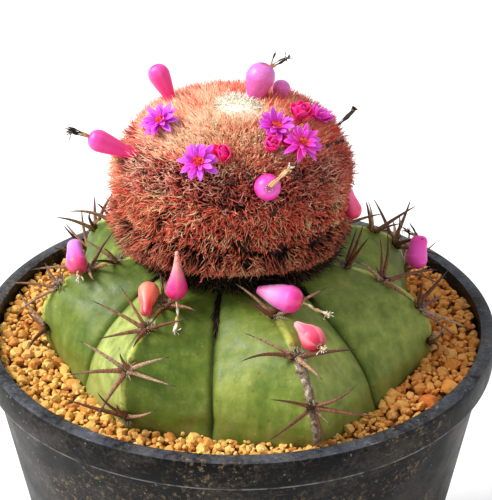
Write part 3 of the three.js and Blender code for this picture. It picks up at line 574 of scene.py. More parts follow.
def points_of(piece):
    flat = np.zeros(len(piece.data.vertices) * 3)
    piece.data.vertices.foreach_get("co", flat)
    return flat.reshape(-1, 3)


def move_points(piece, points):
    piece.data.vertices.foreach_set("co", np.asarray(points, float).ravel())
    piece.data.update()


def note(piece, name, values):
    """Keeps a number for each point of a piece, or the same for all, for its finish to read."""
    kept = piece.data.attributes.new(name, "FLOAT", "POINT")
    kept.data.foreach_set("value", np.full(len(piece.data.vertices), values, np.float32))


def finished(piece, look):
    piece.data.materials.clear()
    piece.data.materials.append(LOOKS[look].material)
    return piece


def done(piece, name, slot, *stands_for):
    """Smooths and names a piece that carries its finish, and hangs it on the body root."""
    take(piece)
    bpy.ops.object.transform_apply(location=True, rotation=True, scale=True)
    bpy.ops.object.shade_smooth()
    piece.name = name
    piece.data.name = name
    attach(piece, "root")
    if stands_for:
        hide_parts(*stands_for)


def discard(*pieces):
    for piece in pieces:
        bpy.data.objects.remove(piece)


def turned(profile, sides):
    """A closed turned form: a disc drawn up ring by ring through (radius, height) pairs in millimetres."""
    alone()
    radius, height = profile[0]
    bpy.ops.mesh.primitive_circle_add(vertices=sides, radius=radius * MM, fill_type="NGON",
                                      location=(0, 0, height * MM))
    piece = bpy.context.object
    bpy.ops.object.mode_set(mode="EDIT")
    bpy.ops.mesh.select_all(action="SELECT")
    for wider, higher in profile[1:]:
        bpy.ops.mesh.extrude_region_move(TRANSFORM_OT_translate={"value": (0, 0, (higher - height) * MM)})
        share = wider / radius
        bpy.ops.transform.resize(value=(share, share, 1))
        radius, height = wider, higher
    bpy.ops.mesh.select_all(action="SELECT")
    bpy.ops.mesh.normals_make_consistent(inside=False)
    bpy.ops.object.mode_set(mode="OBJECT")
    bpy.ops.object.transform_apply(location=True, rotation=True, scale=True)
    return piece


def joined(pieces):
    alone()
    for piece in pieces:
        piece.select_set(True)
    bpy.context.view_layer.objects.active = pieces[0]
    if len(pieces) > 1:
        bpy.ops.object.join()
    return pieces[0]


def facing(direction, turn=0.0):
    """Turns a form made along +Z to face a direction."""
    aim = Vector(direction).normalized()
    return Vector((0, 0, 1)).rotation_difference(aim).to_matrix().to_4x4() @ Matrix.Rotation(turn, 4, "Z")


def stand(piece, at, direction, turn=0.0):
    piece.data.transform(Matrix.Translation(Vector(at) * MM) @ facing(direction, turn))
    return piece


def smooth_curve(stops, steps):
    """Points of a smooth line through the stops, with the same number of steps from each stop to the next."""
    stops = np.asarray(stops, float)
    padded = np.vstack([2 * stops[0] - stops[1], stops, 2 * stops[-1] - stops[-2]])
    out = []
    for i in range(len(stops) - 1):
        a, b, c, d = padded[i:i + 4]
        for t in np.linspace(0, 1, steps, endpoint=False):
            out.append(0.5 * (2 * b + (c - a) * t + (2 * a - 5 * b + 4 * c - d) * t ** 2
                              + (3 * b - a - 3 * c + d) * t ** 3))
    out.append(stops[-1])
    return np.array(out)


def strand_form(sides, cuts, width):
    """One strand along +Z, one unit long and one unit thick at its root, closed at both ends."""
    alone()
    bpy.ops.mesh.primitive_cone_add(vertices=sides, radius1=1, radius2=0.2, depth=1, location=(0, 0, 0.5))
    piece = bpy.context.object
    bpy.ops.object.transform_apply(location=True, rotation=True, scale=True)
    if cuts:
        pick(piece, "EDGE", lambda a, b: abs(a.z - b.z) > 0.5)
        bpy.ops.mesh.subdivide(number_cuts=cuts)
    pick(piece, "VERT", lambda co: co.z > 0.999)
    bpy.ops.mesh.merge(type="CENTER")
    alone()
    points = points_of(piece)
    around = np.arctan2(points[:, 1], points[:, 0])
    reach = width(points[:, 2]) * (np.hypot(points[:, 0], points[:, 1]) > 1e-4)
    move_points(piece, np.stack([reach * np.cos(around), reach * np.sin(around), points[:, 2]], 1))
    return piece


def planted(form, place):
    """Many copies of one form as one mesh; place gives every copy's points from the form's points."""
    points, faces = points_of(form), form.data.polygons
    sizes = np.array([len(face.vertices) for face in faces])
    corners = np.array([i for face in faces for i in face.vertices])
    moved = place(points)
    count = len(moved)
    mesh = bpy.data.meshes.new("planted")
    mesh.vertices.add(count * len(points))
    mesh.vertices.foreach_set("co", (moved * MM).ravel())
    mesh.loops.add(count * len(corners))
    shift = np.repeat(np.arange(count) * len(points), len(corners))
    mesh.loops.foreach_set("vertex_index", (np.tile(corners, count) + shift).astype(np.int32))
    mesh.polygons.add(count * len(sizes))
    all_sizes = np.tile(sizes, count)
    mesh.polygons.foreach_set("loop_start", np.concatenate([[0], np.cumsum(all_sizes)[:-1]]).astype(np.int32))
    mesh.update(calc_edges=True)
    mesh.validate()
    piece = bpy.data.objects.new("planted", mesh)
    bpy.context.scene.collection.objects.link(piece)
    return piece


def across(directions, chance):
    """Two unit directions across each direction, turned by chance."""
    helper = np.where(np.abs(directions[:, 2:3]) > 0.9, [[1.0, 0, 0]], [[0, 0, 1.0]])
    first = np.cross(directions, helper)
    first /= np.linalg.norm(first, axis=1, keepdims=True)
    second = np.cross(directions, first)
    turn = (chance * 2 * np.pi)[:, None]
    return first * np.cos(turn) + second * np.sin(turn), second * np.cos(turn) - first * np.sin(turn)


def strands(form, roots, reaches, radii, bows, chance, shade=None):
    """Strands from roots by reaches, thick by radii, bowed sideways by bows, in millimetres; chance turns each
    strand about itself, and gives its shade too where no shade is given."""
    roots, reaches, bows = (np.asarray(a, float) for a in (roots, reaches, bows))
    radii, chance = np.asarray(radii, float), np.asarray(chance, float)
    lengths = np.linalg.norm(reaches, axis=1, keepdims=True)
    right, front = across(reaches / lengths, chance)

    def place(points):
        x, y, z = points[:, 0], points[:, 1], points[:, 2]
        body = roots[:, None] + reaches[:, None] * z[None, :, None]
        body += bows[:, None] * (4 * z * (1 - z))[None, :, None]
        body += (right[:, None] * x[None, :, None] + front[:, None] * y[None, :, None]) * radii[:, None, None]
        return body

    piece = planted(form, place)
    heights = points_of(form)[:, 2]
    note(piece, "along", np.tile(heights, len(roots)))
    note(piece, "chance", np.repeat(chance if shade is None else shade, len(heights)))
    return piece


def ring(angle):
    """Level unit directions at the angles given."""
    return np.stack([np.cos(angle), np.sin(angle), np.zeros_like(angle)], 1)


# Shape of the stem and the cap

def clamp(value, low=0.0, high=1.0):
    return np.minimum(np.maximum(value, low), high)


def crest_radius(rib, h):
    rise = clamp(h / CREST_TOP)
    below = rib["radius"] - 0.25 * np.maximum(-h, 0) ** 1.2
    return np.where(h < 0, below, rib["radius"] * (1 - rise ** CREST_POWER) ** (1 / CREST_POWER))


def groove_radius(rib, after, h):
    radius = GROOVE_SHARE * (rib["radius"] + after["radius"]) / 2
    rise = clamp(h / GROOVE_TOP)
    return np.where(h < 0, radius - 0.4 * np.minimum(h, 0),
                    radius * (1 - rise ** GROOVE_POWER) ** (1 / GROOVE_POWER))


def stem_point(azimuth, h, radius):
    angle = np.radians(azimuth)
    lean = STEM_LEAN * clamp(h / 25)
    return np.stack([STEM_X + lean + radius * np.sin(angle), STEM_Y - radius * np.cos(angle), POT_HEIGHT + h], -1)


def rib_spot(step):
    """At a step round the stem, two to a rib: the azimuth, the rib's number, the rib with those before and after
    its groove, the share of the way from crest to groove, and the angle between these two."""
    index = int(step // 2) % len(RIBS)
    share = step % 2
    rib, after = RIBS[index], RIBS[(index + 1) % len(RIBS)]
    width = (rib["groove"] - rib["crest"]) % 360
    other = (after["crest"] - rib["groove"]) % 360
    if share <= 1:
        return rib["crest"] + width * share, index, (rib, rib, after), share, width
    return rib["groove"] + other * (share - 1), (index + 1) % len(RIBS), (after, rib, after), 2 - share, other


def stem_radius(spot, h):
    """A rib is two almost flat faces that meet at its crest; they round off towards the cap."""
    _, _, (own, before, after), share, width = spot
    crest, groove, angle = crest_radius(own, h), groove_radius(before, after, h), math.radians(width)
    across_face = crest * math.sin(share * angle) + groove * math.sin((1 - share) * angle)
    flat = crest * groove * math.sin(angle) / (across_face + 1e-9)
    full = groove + (crest - groove) * (1 - share ** 1.3)
    soft = 0.12 + 0.5 * clamp((h - 15) / 8) + 0.2 * clamp((4 - h) / 8)
    return flat + (full - flat) * soft


def areole_frame(rib, h):
    """Place, outwards, up along the crest and right, at an areole."""
    step = 0.2
    at = stem_point(rib["crest"], h, crest_radius(rib, h))
    below = stem_point(rib["crest"], h - step, crest_radius(rib, h - step))
    up = (at - below) / np.linalg.norm(at - below)
    angle = math.radians(rib["crest"])
    right = np.array([math.cos(angle), math.sin(angle), 0])
    normal = np.cross(right, up)
    return at, normal / np.linalg.norm(normal), up, right


def cap_radius(h, radius=CAP_RADIUS):
    reach = np.where(h > CAP_WIDEST, (h - CAP_WIDEST) / (CAP_TOP - CAP_WIDEST), (CAP_WIDEST - h) / CAP_UNDER)
    return radius * np.maximum(0, 1 - clamp(reach) ** CAP_POWER) ** (1 / CAP_POWER)


def leaning(points):
    """Leans points made about the cap's own axis, and moves them onto the stem."""
    a = math.radians(CAP_LEAN)
    x, y, z = np.moveaxis(np.asarray(points, float), -1, 0)
    return np.stack([x * math.cos(a) + z * math.sin(a) + CAP_X, y + CAP_Y,
                     z * math.cos(a) - x * math.sin(a) + POT_HEIGHT], -1)


def cap_outline(shrink):
    """Dense line of (radius, height) points of the cap, shrunk a little, from its top to its foot."""
    angle = np.linspace(math.pi / 2, 0, 200)
    h = CAP_WIDEST + (CAP_TOP - shrink - CAP_WIDEST) * np.sin(angle) ** (2 / CAP_POWER)
    r = (CAP_RADIUS - shrink) * np.cos(angle) ** (2 / CAP_POWER)
    low = np.linspace(CAP_WIDEST, COLLAR_TOP + 0.2, 40)[1:]
    return np.concatenate([np.stack([r, h], 1),
                           np.stack([cap_radius(low, CAP_RADIUS - shrink), low], 1)])


def leaned(piece, shift=0):
    """Leans a piece made about the cap's axis, moved back by a shift in millimetres."""
    move_points(piece, leaning(points_of(piece) / MM + [0, shift, 0]) * MM)
    note(piece, "along", 1)
    return piece


def leaned_strands(form, roots, reaches, *rest):
    start = leaning(roots)
    return strands(form, start, leaning(roots + reaches) - start, *rest)


# Pot and gravel

def make_pot():
    foot = POT_HEIGHT - BAND_HEIGHT
    profile = [
        (BASE_RADIUS - 1.5, 0), (BASE_RADIUS - 0.4, 0.4), (BASE_RADIUS, 1.5), (NECK_RADIUS - 0.25, foot - 1.2),
        (NECK_RADIUS, foot), (RIM_RADIUS - 0.9, foot), (RIM_RADIUS - 0.45, foot + 0.3),
        (RIM_RADIUS - 0.3, foot + 0.9), (RIM_RADIUS - 0.1, foot + 4), (RIM_RADIUS, POT_HEIGHT - 1.5),
        (RIM_RADIUS - 0.35, POT_HEIGHT - 0.5), (RIM_RADIUS - 1.3, POT_HEIGHT), (MOUTH_RADIUS + 1, POT_HEIGHT),
        (MOUTH_RADIUS + 0.25, POT_HEIGHT - 0.3),
        (MOUTH_RADIUS, POT_HEIGHT - 1), (NECK_RADIUS - WALL, foot), (BASE_RADIUS - WALL, FLOOR + 1),
        (BASE_RADIUS - WALL - 1, FLOOR),
    ]
    pot = turned(profile, 160)
    cutters = []
    for i in range(DRAIN_HOLES):
        angle = math.radians((i + 0.5) * 360 / DRAIN_HOLES)
        alone()
        bpy.ops.mesh.primitive_cylinder_add(
            vertices=32, radius=DRAIN_RADIUS * MM, depth=4 * FLOOR * MM,
            location=(DRAIN_CIRCLE * MM * math.cos(angle), DRAIN_CIRCLE * MM * math.sin(angle), 0))
        cutters.append(bpy.context.object)
    cutter = joined(cutters)
    take(pot)
    holes = pot.modifiers.new("drain_holes", "BOOLEAN")
    holes.operation, holes.object, holes.solver = "DIFFERENCE", cutter, "EXACT"
    bpy.ops.object.modifier_apply(modifier="drain_holes")
    discard(cutter)
    points = points_of(pot) / MM
    radius = np.hypot(points[:, 0], points[:, 1])
    # The lower edge of the rim's band, where the finish paints a highlight
    band_foot = (np.abs(points[:, 2] - foot) < 0.5) & (radius > NECK_RADIUS + 0.5)
    note(pot, "edge", band_foot.astype(float))
    done(finished(pot, "plastic"), "nursery_pot", "black_plastic", "pot")
    bpy.ops.object.shade_smooth_by_angle(angle=math.radians(38))


def pot_inside(z):
    share = (z - FLOOR) / (POT_HEIGHT - BAND_HEIGHT - FLOOR)
    return min(BASE_RADIUS - WALL + (NECK_RADIUS - BASE_RADIUS) * share, MOUTH_RADIUS)


def make_bed():
    profile = [
        (pot_inside(FLOOR) - 1.3, FLOOR + 0.3), (pot_inside(FLOOR + 1.3) - 0.3, FLOOR + 1.3),
        (pot_inside(BED_TOP) - 0.3, BED_TOP), (60, BED_TOP), (30, BED_TOP - 0.4), (1, BED_TOP - 0.4),
    ]
    done(finished(turned(profile, 96), "bed"), "gravel_bed", "gravel", "soil")


def grain_form(seed, fineness):
    """One broken, angular pebble, about one unit in radius."""
    alone()
    bpy.ops.mesh.primitive_ico_sphere_add(subdivisions=fineness, radius=1)
    piece = bpy.context.object
    points = points_of(piece)
    shift = Vector((seed * 7.3, seed * 3.1, 0))
    lumps = np.array([noise.noise(Vector(p) * 0.9 + shift) for p in points])
    points = points * (1.06 + 0.3 * lumps)[:, None]
    rng = np.random.default_rng(seed)
    for _ in range(BREAKS):
        side = rng.normal(size=3)
        side /= np.linalg.norm(side)
        points = points - np.maximum(points @ side - rng.uniform(0.55, 0.82), 0)[:, None] * side
    move_points(piece, points)
    return piece


def stem_edge(azimuths, h):
    """Radius of the stem at a height, about the pot's axis, for many azimuths."""
    spots = [rib_spot(s) for s in np.linspace(0, STEPS, 100 * STEPS, endpoint=False)]
    line = np.array([stem_point(s[0], h, stem_radius(s, np.float64(h))) for s in spots])
    around = np.degrees(np.arctan2(line[:, 0], -line[:, 1])) % 360
    reach = np.hypot(line[:, 0], line[:, 1])
    order = np.argsort(around)
    return np.interp(azimuths % 360, around[order], reach[order], period=360)


def make_gravel():
    rng = np.random.default_rng(12)
    forms = [grain_form(seed, 2 if seed <= FINE_FORMS else 1) for seed in range(1, GRAIN_FORMS + 1)]
    outer = pot_inside(BED_TOP + 1)
    angles = np.linspace(0, 360, 721)
    inner_line = stem_edge(angles, GRAIN_LINE)
    grains = []
    for low, high, small, large, closeness, tries in GRAIN_LAYERS:
        kept = np.zeros((0, 3))
        for _ in range(tries):
            r = rng.uniform(small, large) if rng.random() > LARGER_SHARE else rng.uniform(large, large * 1.35)
            angle = rng.uniform(0, 360)
            inner = np.interp(angle, angles, inner_line)
            low_r, high_r = inner + 0.5 * r, outer - 0.75 * r
            if high_r <= low_r:
                continue
            rho = math.sqrt(rng.uniform(low_r ** 2, high_r ** 2))
            x, y = rho * math.sin(math.radians(angle)), -rho * math.cos(math.radians(angle))
            near = np.hypot(kept[:, 0] - x, kept[:, 1] - y) < closeness * (kept[:, 2] + r)
            if near.any():
                continue
            kept = np.vstack([kept, [x, y, r]])
            height = rng.uniform(low, high)
            grains.append((x, y, height, r, 0.93 * rng.random() ** 0.9 if rng.random() > ORANGE_SHARE else 1))
    for x, y, r, shade in BIG_GRAINS:
        grains = [g for g in grains if math.hypot(g[0] - x, g[1] - y) > r + 0.4 * g[3] or g[2] < BED_TOP + 1]
        grains.append((x, y, BED_TOP + 1.7, r, shade))
    grains = np.array(grains)
    kinds = np.where(grains[:, 2] > BED_TOP + 1, rng.integers(0, FINE_FORMS, len(grains)),
                     rng.integers(FINE_FORMS, GRAIN_FORMS, len(grains)))
    pieces = []
    for kind, form in enumerate(forms):
        own = grains[kinds == kind]
        spin = np.array([Quaternion(turn).normalized().to_matrix() for turn in rng.normal(size=(len(own), 4))])
        stretch = rng.uniform(0.74, 1.22, (len(own), 3))

        def place(points, own=own, spin=spin, stretch=stretch):
            shaped = points[None] * stretch[:, None] * own[:, 3][:, None, None]
            return np.einsum("nij,npj->npi", spin, shaped) * [1, 1, 0.85] + own[:, None, :3]

        piece = planted(form, place)
        note(piece, "chance", np.repeat(own[:, 4], len(form.data.vertices)))
        pieces.append(piece)
        discard(form)
    gravel = joined(pieces)
    points = points_of(gravel)
    points[:, 2] = np.minimum(points[:, 2], GRAIN_TOP * MM)
    move_points(gravel, points)
    done(finished(gravel, "gravel"), "gravel_grains", "gravel")
    bpy.ops.object.shade_smooth_by_angle(angle=math.radians(24))


# Stem

# Shares of the way up the mesh at which the stem's underside ends, its buried foot ends, and its flat top begins
UNDERSIDE_END, FOOT_END, TOP_START = 0.08, 0.24, 0.93
SHOULDER_ANGLE = 1.36


def stem_level(share):
    """Height, and share of the full radius, at a share of the way up the mesh from pole to pole."""
    if share < UNDERSIDE_END:
        return STEM_FOOT, share / UNDERSIDE_END
    if share < FOOT_END:
        return STEM_FOOT * (1 - (share - UNDERSIDE_END) / (FOOT_END - UNDERSIDE_END)), 1
    if share < TOP_START:
        angle = (share - FOOT_END) / (TOP_START - FOOT_END) * SHOULDER_ANGLE
        return STEM_TOP * (math.sin(angle) / math.sin(SHOULDER_ANGLE)) ** 0.9, 1
    return STEM_TOP, 1 - (share - TOP_START) / (1 - TOP_START)


def hump(distance, width):
    return math.exp(-(distance / width) ** 2)


def make_stem():
    alone()
    bpy.ops.mesh.primitive_uv_sphere_add(segments=256, ring_count=96, radius=1)
    stem = bpy.context.object
    points = points_of(stem)
    around = np.arctan2(points[:, 1], points[:, 0]) % (2 * np.pi)
    steps = around / (2 * np.pi) * STEPS
    whole, part = np.floor(steps + 1e-9), np.maximum(steps - np.floor(steps + 1e-9), 0)
    steps = whole + part - 0.62 * np.sin(2 * np.pi * part) / (2 * np.pi)  # more points at crests and grooves
    rise = 1 - np.arccos(clamp(points[:, 2], -1, 1)) / np.pi
    shaped = np.zeros_like(points)
    kept = {name: np.zeros(len(points)) for name in ("crest", "groove", "cork", "pale")}
    for i, (step, share) in enumerate(zip(steps, rise)):
        spot = rib_spot(step)
        azimuth, index, (own, _, _), from_crest, width = spot
        h, inward = stem_level(share)
        h = np.float64(h)
        # Painted light and shade on this face, fading to even towards the groove
        kept["pale"][i] = 0.5 + (FACE_PAINTED_LIGHT[index][int(step % 2 <= 1)] - 0.5) * clamp((1 - from_crest) * 5)
        radius = float(stem_radius(spot, h))
        side = math.radians(width) * from_crest * radius
        to_groove = math.radians(width) * (1 - from_crest) * radius
        if inward == 1:
            nearest = min(own["areoles"], key=lambda a: abs(a - h))
            along = abs(nearest - h) * (1.3 + 1.4 * clamp((h - 12) / 12))
            radius -= 1.9 * math.exp(-(along / 2.5) ** 2 - (side / 3.4) ** 2)  # a dent at each areole
            radius += 0.3 * hump(side, 2.2)  # a sharper crest
            radius -= 1.5 * hump(to_groove, 0.75) * clamp((h + 8) / 6)  # a cut groove
            wave = noise.noise(Vector((math.radians(azimuth) * 4.0, h * 0.12, index * 3.7)))
            wave += 0.5 * noise.noise(Vector((math.radians(azimuth) * 11.0, h * 0.3, 9.1)))
            radius += 0.75 * wave * clamp(from_crest * 4) * clamp((1 - from_crest) * 4)
            jag = noise.noise(Vector((h * 0.9, index * 5.3, 1.7)))
            kept["crest"][i] = hump(side, 1.5 + 0.8 * jag) * clamp((h + 6) / 8)
            kept["groove"][i] = hump(to_groove, 0.62)
            if index == CORKY_RIB and h < CORK_TOP:
                kept["cork"][i] = hump(side, 1.5 + 0.7 * jag) * clamp((CORK_TOP - h) / 2)
            radius += 0.35 * kept["cork"][i]
        shaped[i] = stem_point(azimuth, h, radius * inward)
    move_points(stem, shaped * MM)
    for name, values in kept.items():
        note(stem, name, values)
    pick(stem, "FACE", lambda middle, normal: True)
    bpy.ops.mesh.normals_make_consistent(inside=False)
    done(finished(stem, "skin"), "ribbed_stem", "green_skin", "stem")


# Spines

def spine_fan(name, height, seed):
    """Clock angle, lift and length of each long spine of an areole: as seen, or a ring of five and one in it."""
    draw = seeded_draws(seed)
    share = LOW_CLOCK_SHARE if height < LOW_AREOLE else 1
    fan = [(share * (clock + 24 * (next(draw) - 0.5)), 22 + 20 * (next(draw) - 0.5), 14.5 + 3 * (next(draw) - 0.5))
           for clock in FAN_CLOCKS]
    fan.append((60 * (next(draw) - 0.5), 62, 14.5))
    return SEEN_SPINES.get(name, fan)


def areole_spines(thorn, name, height, frame_here, seed, rng):
    """The long spines of one areole and, higher up, two short ones among them."""
    at, normal, up, right = frame_here

    def towards(clock):
        return up * math.cos(math.radians(clock)) + right * math.sin(math.radians(clock))

    spines = []
    for clock, lift, length in spine_fan(name, height, seed):
        flat = towards(clock)
        aim = flat * math.cos(math.radians(lift)) + normal * math.sin(math.radians(lift))
        root = at + flat * 0.9
        spines.append((root, at + aim * (length + 0.6) - root, rng.uniform(0.62, 0.92),
                       (normal * 0.6 + up * rng.uniform(-0.5, 0.5)) * length * rng.uniform(0.05, 0.16),
                       rng.random()))
    if height > LOW_AREOLE:
        for clock in rng.uniform(-170, 170, 2):
            flat = towards(clock)
            spines.append((at + flat * 0.9, (flat * 0.86 + normal * 0.5) * rng.uniform(3.5, 6),
                           rng.uniform(0.32, 0.45), normal * 0.3, rng.random()))
    return finished(strands(thorn, *zip(*spines)), "spine")


def areole_pad(hair, frame_here, woolly, rng):
    at, normal, up, right = frame_here
    clock = rng.uniform(0, 2 * math.pi, PAD_HAIRS)
    spread = np.sqrt(rng.random(PAD_HAIRS)) * (1.4 + 0.6 * woolly)
    flat = up * np.cos(clock)[:, None] + right * np.sin(clock)[:, None]
    pad = strands(hair, at + normal * 0.2 + flat * spread[:, None],
                  flat * rng.uniform(0.4, 1.6, (PAD_HAIRS, 1)) + normal * rng.uniform(0.5, 1.5, (PAD_HAIRS, 1)),
                  np.full(PAD_HAIRS, 0.17), rng.normal(0, 0.25, (PAD_HAIRS, 3)), rng.random(PAD_HAIRS),
                  clamp(rng.random(PAD_HAIRS) * 0.7 + 0.5 * woolly - 0.2))
    return finished(pad, "areole_wool")


def make_spines():
    thorn = strand_form(8, 8, lambda z: (1 - z) ** 0.72 * 0.9 + 0.34 * np.exp(-(z / 0.06) ** 2))
    hair = strand_form(3, 2, lambda z: 1 - z)
    rng = np.random.default_rng(3)
    for i, rib in enumerate(RIBS):
        for j, height in enumerate(rib["areoles"]):
            name = f"spines_{i + 1}_{j + 1}"
            at, normal, up, right = areole_frame(rib, np.float64(height))
            frame_here = at - normal * 0.7, normal, up, right
            spikes = areole_spines(thorn, name, height, frame_here, 10 * i + j + 1, rng)
            woolly = 1.0 if (i + j) % 3 == 1 or name in WOOLLY_AREOLES else 0.45
            cluster = joined([spikes, areole_pad(hair, frame_here, woolly, rng)])
            done(cluster, name.replace("spines", "spine_cluster"), "spines", name)
    discard(thorn, hair)


# Cap

def cap_surface(share, angle):
    """Place, normal and outward direction on the cap, by share of the way from top to foot and angle about it."""
    line = cap_outline(0.4)
    walked = np.concatenate([[0], np.cumsum(np.linalg.norm(np.diff(line, axis=0), axis=1))])
    spot = np.clip(share, 0, 1) * walked[-1]
    r, z = (np.interp(spot, walked, line[:, k]) for k in (0, 1))
    ahead_r, ahead_z = (np.interp(spot + 0.3, walked, line[:, k]) - np.interp(spot - 0.3, walked, line[:, k])
                        for k in (0, 1))
    size = np.hypot(ahead_r, ahead_z) + 1e-9
    out = ring(angle)
    normal = out * (-ahead_z / size)[:, None] + UP * (ahead_r / size)[:, None]
    return out * r[:, None] + UP * z[:, None], normal, out


def even_spots(count, low, high):
    """Shares and angles of spots in an even spiral over a zone of the cap."""
    shares = np.linspace(low, high, 400)
    place = cap_surface(shares, np.zeros(400))[0]
    area = np.concatenate([[0], np.cumsum((place[1:, 0] + place[:-1, 0]) / 2)])
    return np.interp((np.arange(count) + 0.5) / count * area[-1], area, shares), np.arange(count) * GOLDEN_TURN


def clear_share(start, reach):
    """Share of each bristle's length that stays clear of the flowers, buds and berries; 0 leaves it out."""
    share = np.ones(len(start))
    blooms = [(f["at"], f["faces"], FLOWER_REACH, math.tan(math.radians(f["lift"] - 8))) for f in FLOWERS]
    blooms += [(b["at"], b["faces"], b["radius"] + 0.4, 0.2) for b in BUDS]
    for at, faces, wide, slope in blooms:
        axis = np.array(faces) / np.linalg.norm(faces)
        low, high = (start - at) @ axis, (start + reach - at) @ axis
        off = np.linalg.norm(start + reach - at - high[:, None] * axis, axis=1)
        limit = -0.9 + 0.8 * slope * off
        over = (off < wide) & (high > limit)
        cut = (limit - low) / np.maximum(high - low, 0.1)
        share[over] = np.minimum(share[over], clamp(cut[over]))
    for fruit in FRUITS:
        low, axis = np.array(fruit["narrow"]), np.array(fruit["fat"]) - fruit["narrow"]
        for step in (0.3, 0.6, 0.8, 1.0):
            spot = start + reach * step - low
            up = clamp(spot @ axis / (axis @ axis))
            radius = fruit["thin"] + (fruit["radius"] - fruit["thin"]) * up
            share[np.linalg.norm(spot - up[:, None] * axis, axis=1) - radius < 0.15] = 0
    return np.where(share < 0.25, 0, share)


def bristle_zone(name, form, seed, zone, locks, each, spread, lengths, widths, wild, gather, mixed, hang, shade):
    """Bristles in locks over one zone of the cap, given by shares of the way from its top to its foot. Spread is
    the width of a lock, wild how far a bristle strays, gather how far a whole lock does, and mixed how much shades
    vary in a lock. From the share of the way down and the angle round the cap, hang gives how far bristles lean
    outwards, droop and grow, and shade, which has the lock's own hue too, gives their shade."""
    rng = np.random.default_rng(seed)
    share, angle = even_spots(locks, *zone)
    share, angle = share + rng.normal(0, 0.01, locks), angle + rng.normal(0, 0.03, locks)
    middle, _, _ = cap_surface(share, angle)
    lean = rng.normal(0, gather, (locks, 3))
    long = rng.uniform(0.82, 1.15, locks)
    patch = np.array([noise.noise(Vector(p) * 0.16 + Vector((seed, 0, 0))) for p in middle])
    hue = 0.5 + 0.75 * patch + rng.normal(0, 0.15, locks)
    own = np.repeat(np.arange(locks), each)
    count = len(own)
    share = share[own] + rng.normal(0, spread / CAP_LINE, count)
    angle = angle[own] + rng.normal(0, spread, count) / np.maximum(np.hypot(*middle[own, :2].T), 4)
    root, normal, out = cap_surface(share, angle)
    flare, droop, grow = (np.broadcast_to(value, count) for value in hang(share, angle))
    aim = normal + rng.normal(0, wild, (count, 3)) + lean[own] + out * flare[:, None] - UP * droop[:, None]
    aim /= np.linalg.norm(aim, axis=1, keepdims=True)
    aim += normal * np.maximum(0.25 - np.einsum("ij,ij->i", aim, normal), 0)[:, None]
    aim /= np.linalg.norm(aim, axis=1, keepdims=True)
    length = rng.uniform(*lengths, count) * long[own] * grow
    start = leaning(root - normal * 0.8)
    reach = leaning(root - normal * 0.8 + aim * length[:, None]) - start
    clear = clear_share(start, reach)
    keep = (clear > 0) & (grow > 0.3)
    reach = reach * clear[:, None]
    bow = rng.normal(0, 0.03 + 0.22 * wild, (count, 3)) * length[:, None] - UP * (0.1 * length * droop)[:, None]
    own_shade = clamp(shade(hue[own], share, angle) + rng.normal(0, mixed, count))
    bristles = strands(form, start[keep], reach[keep], rng.uniform(*widths, count)[keep],
                       (bow * clear[:, None])[keep], rng.random(count)[keep], own_shade[keep])
    done(finished(bristles, name), name, "red_bristles")


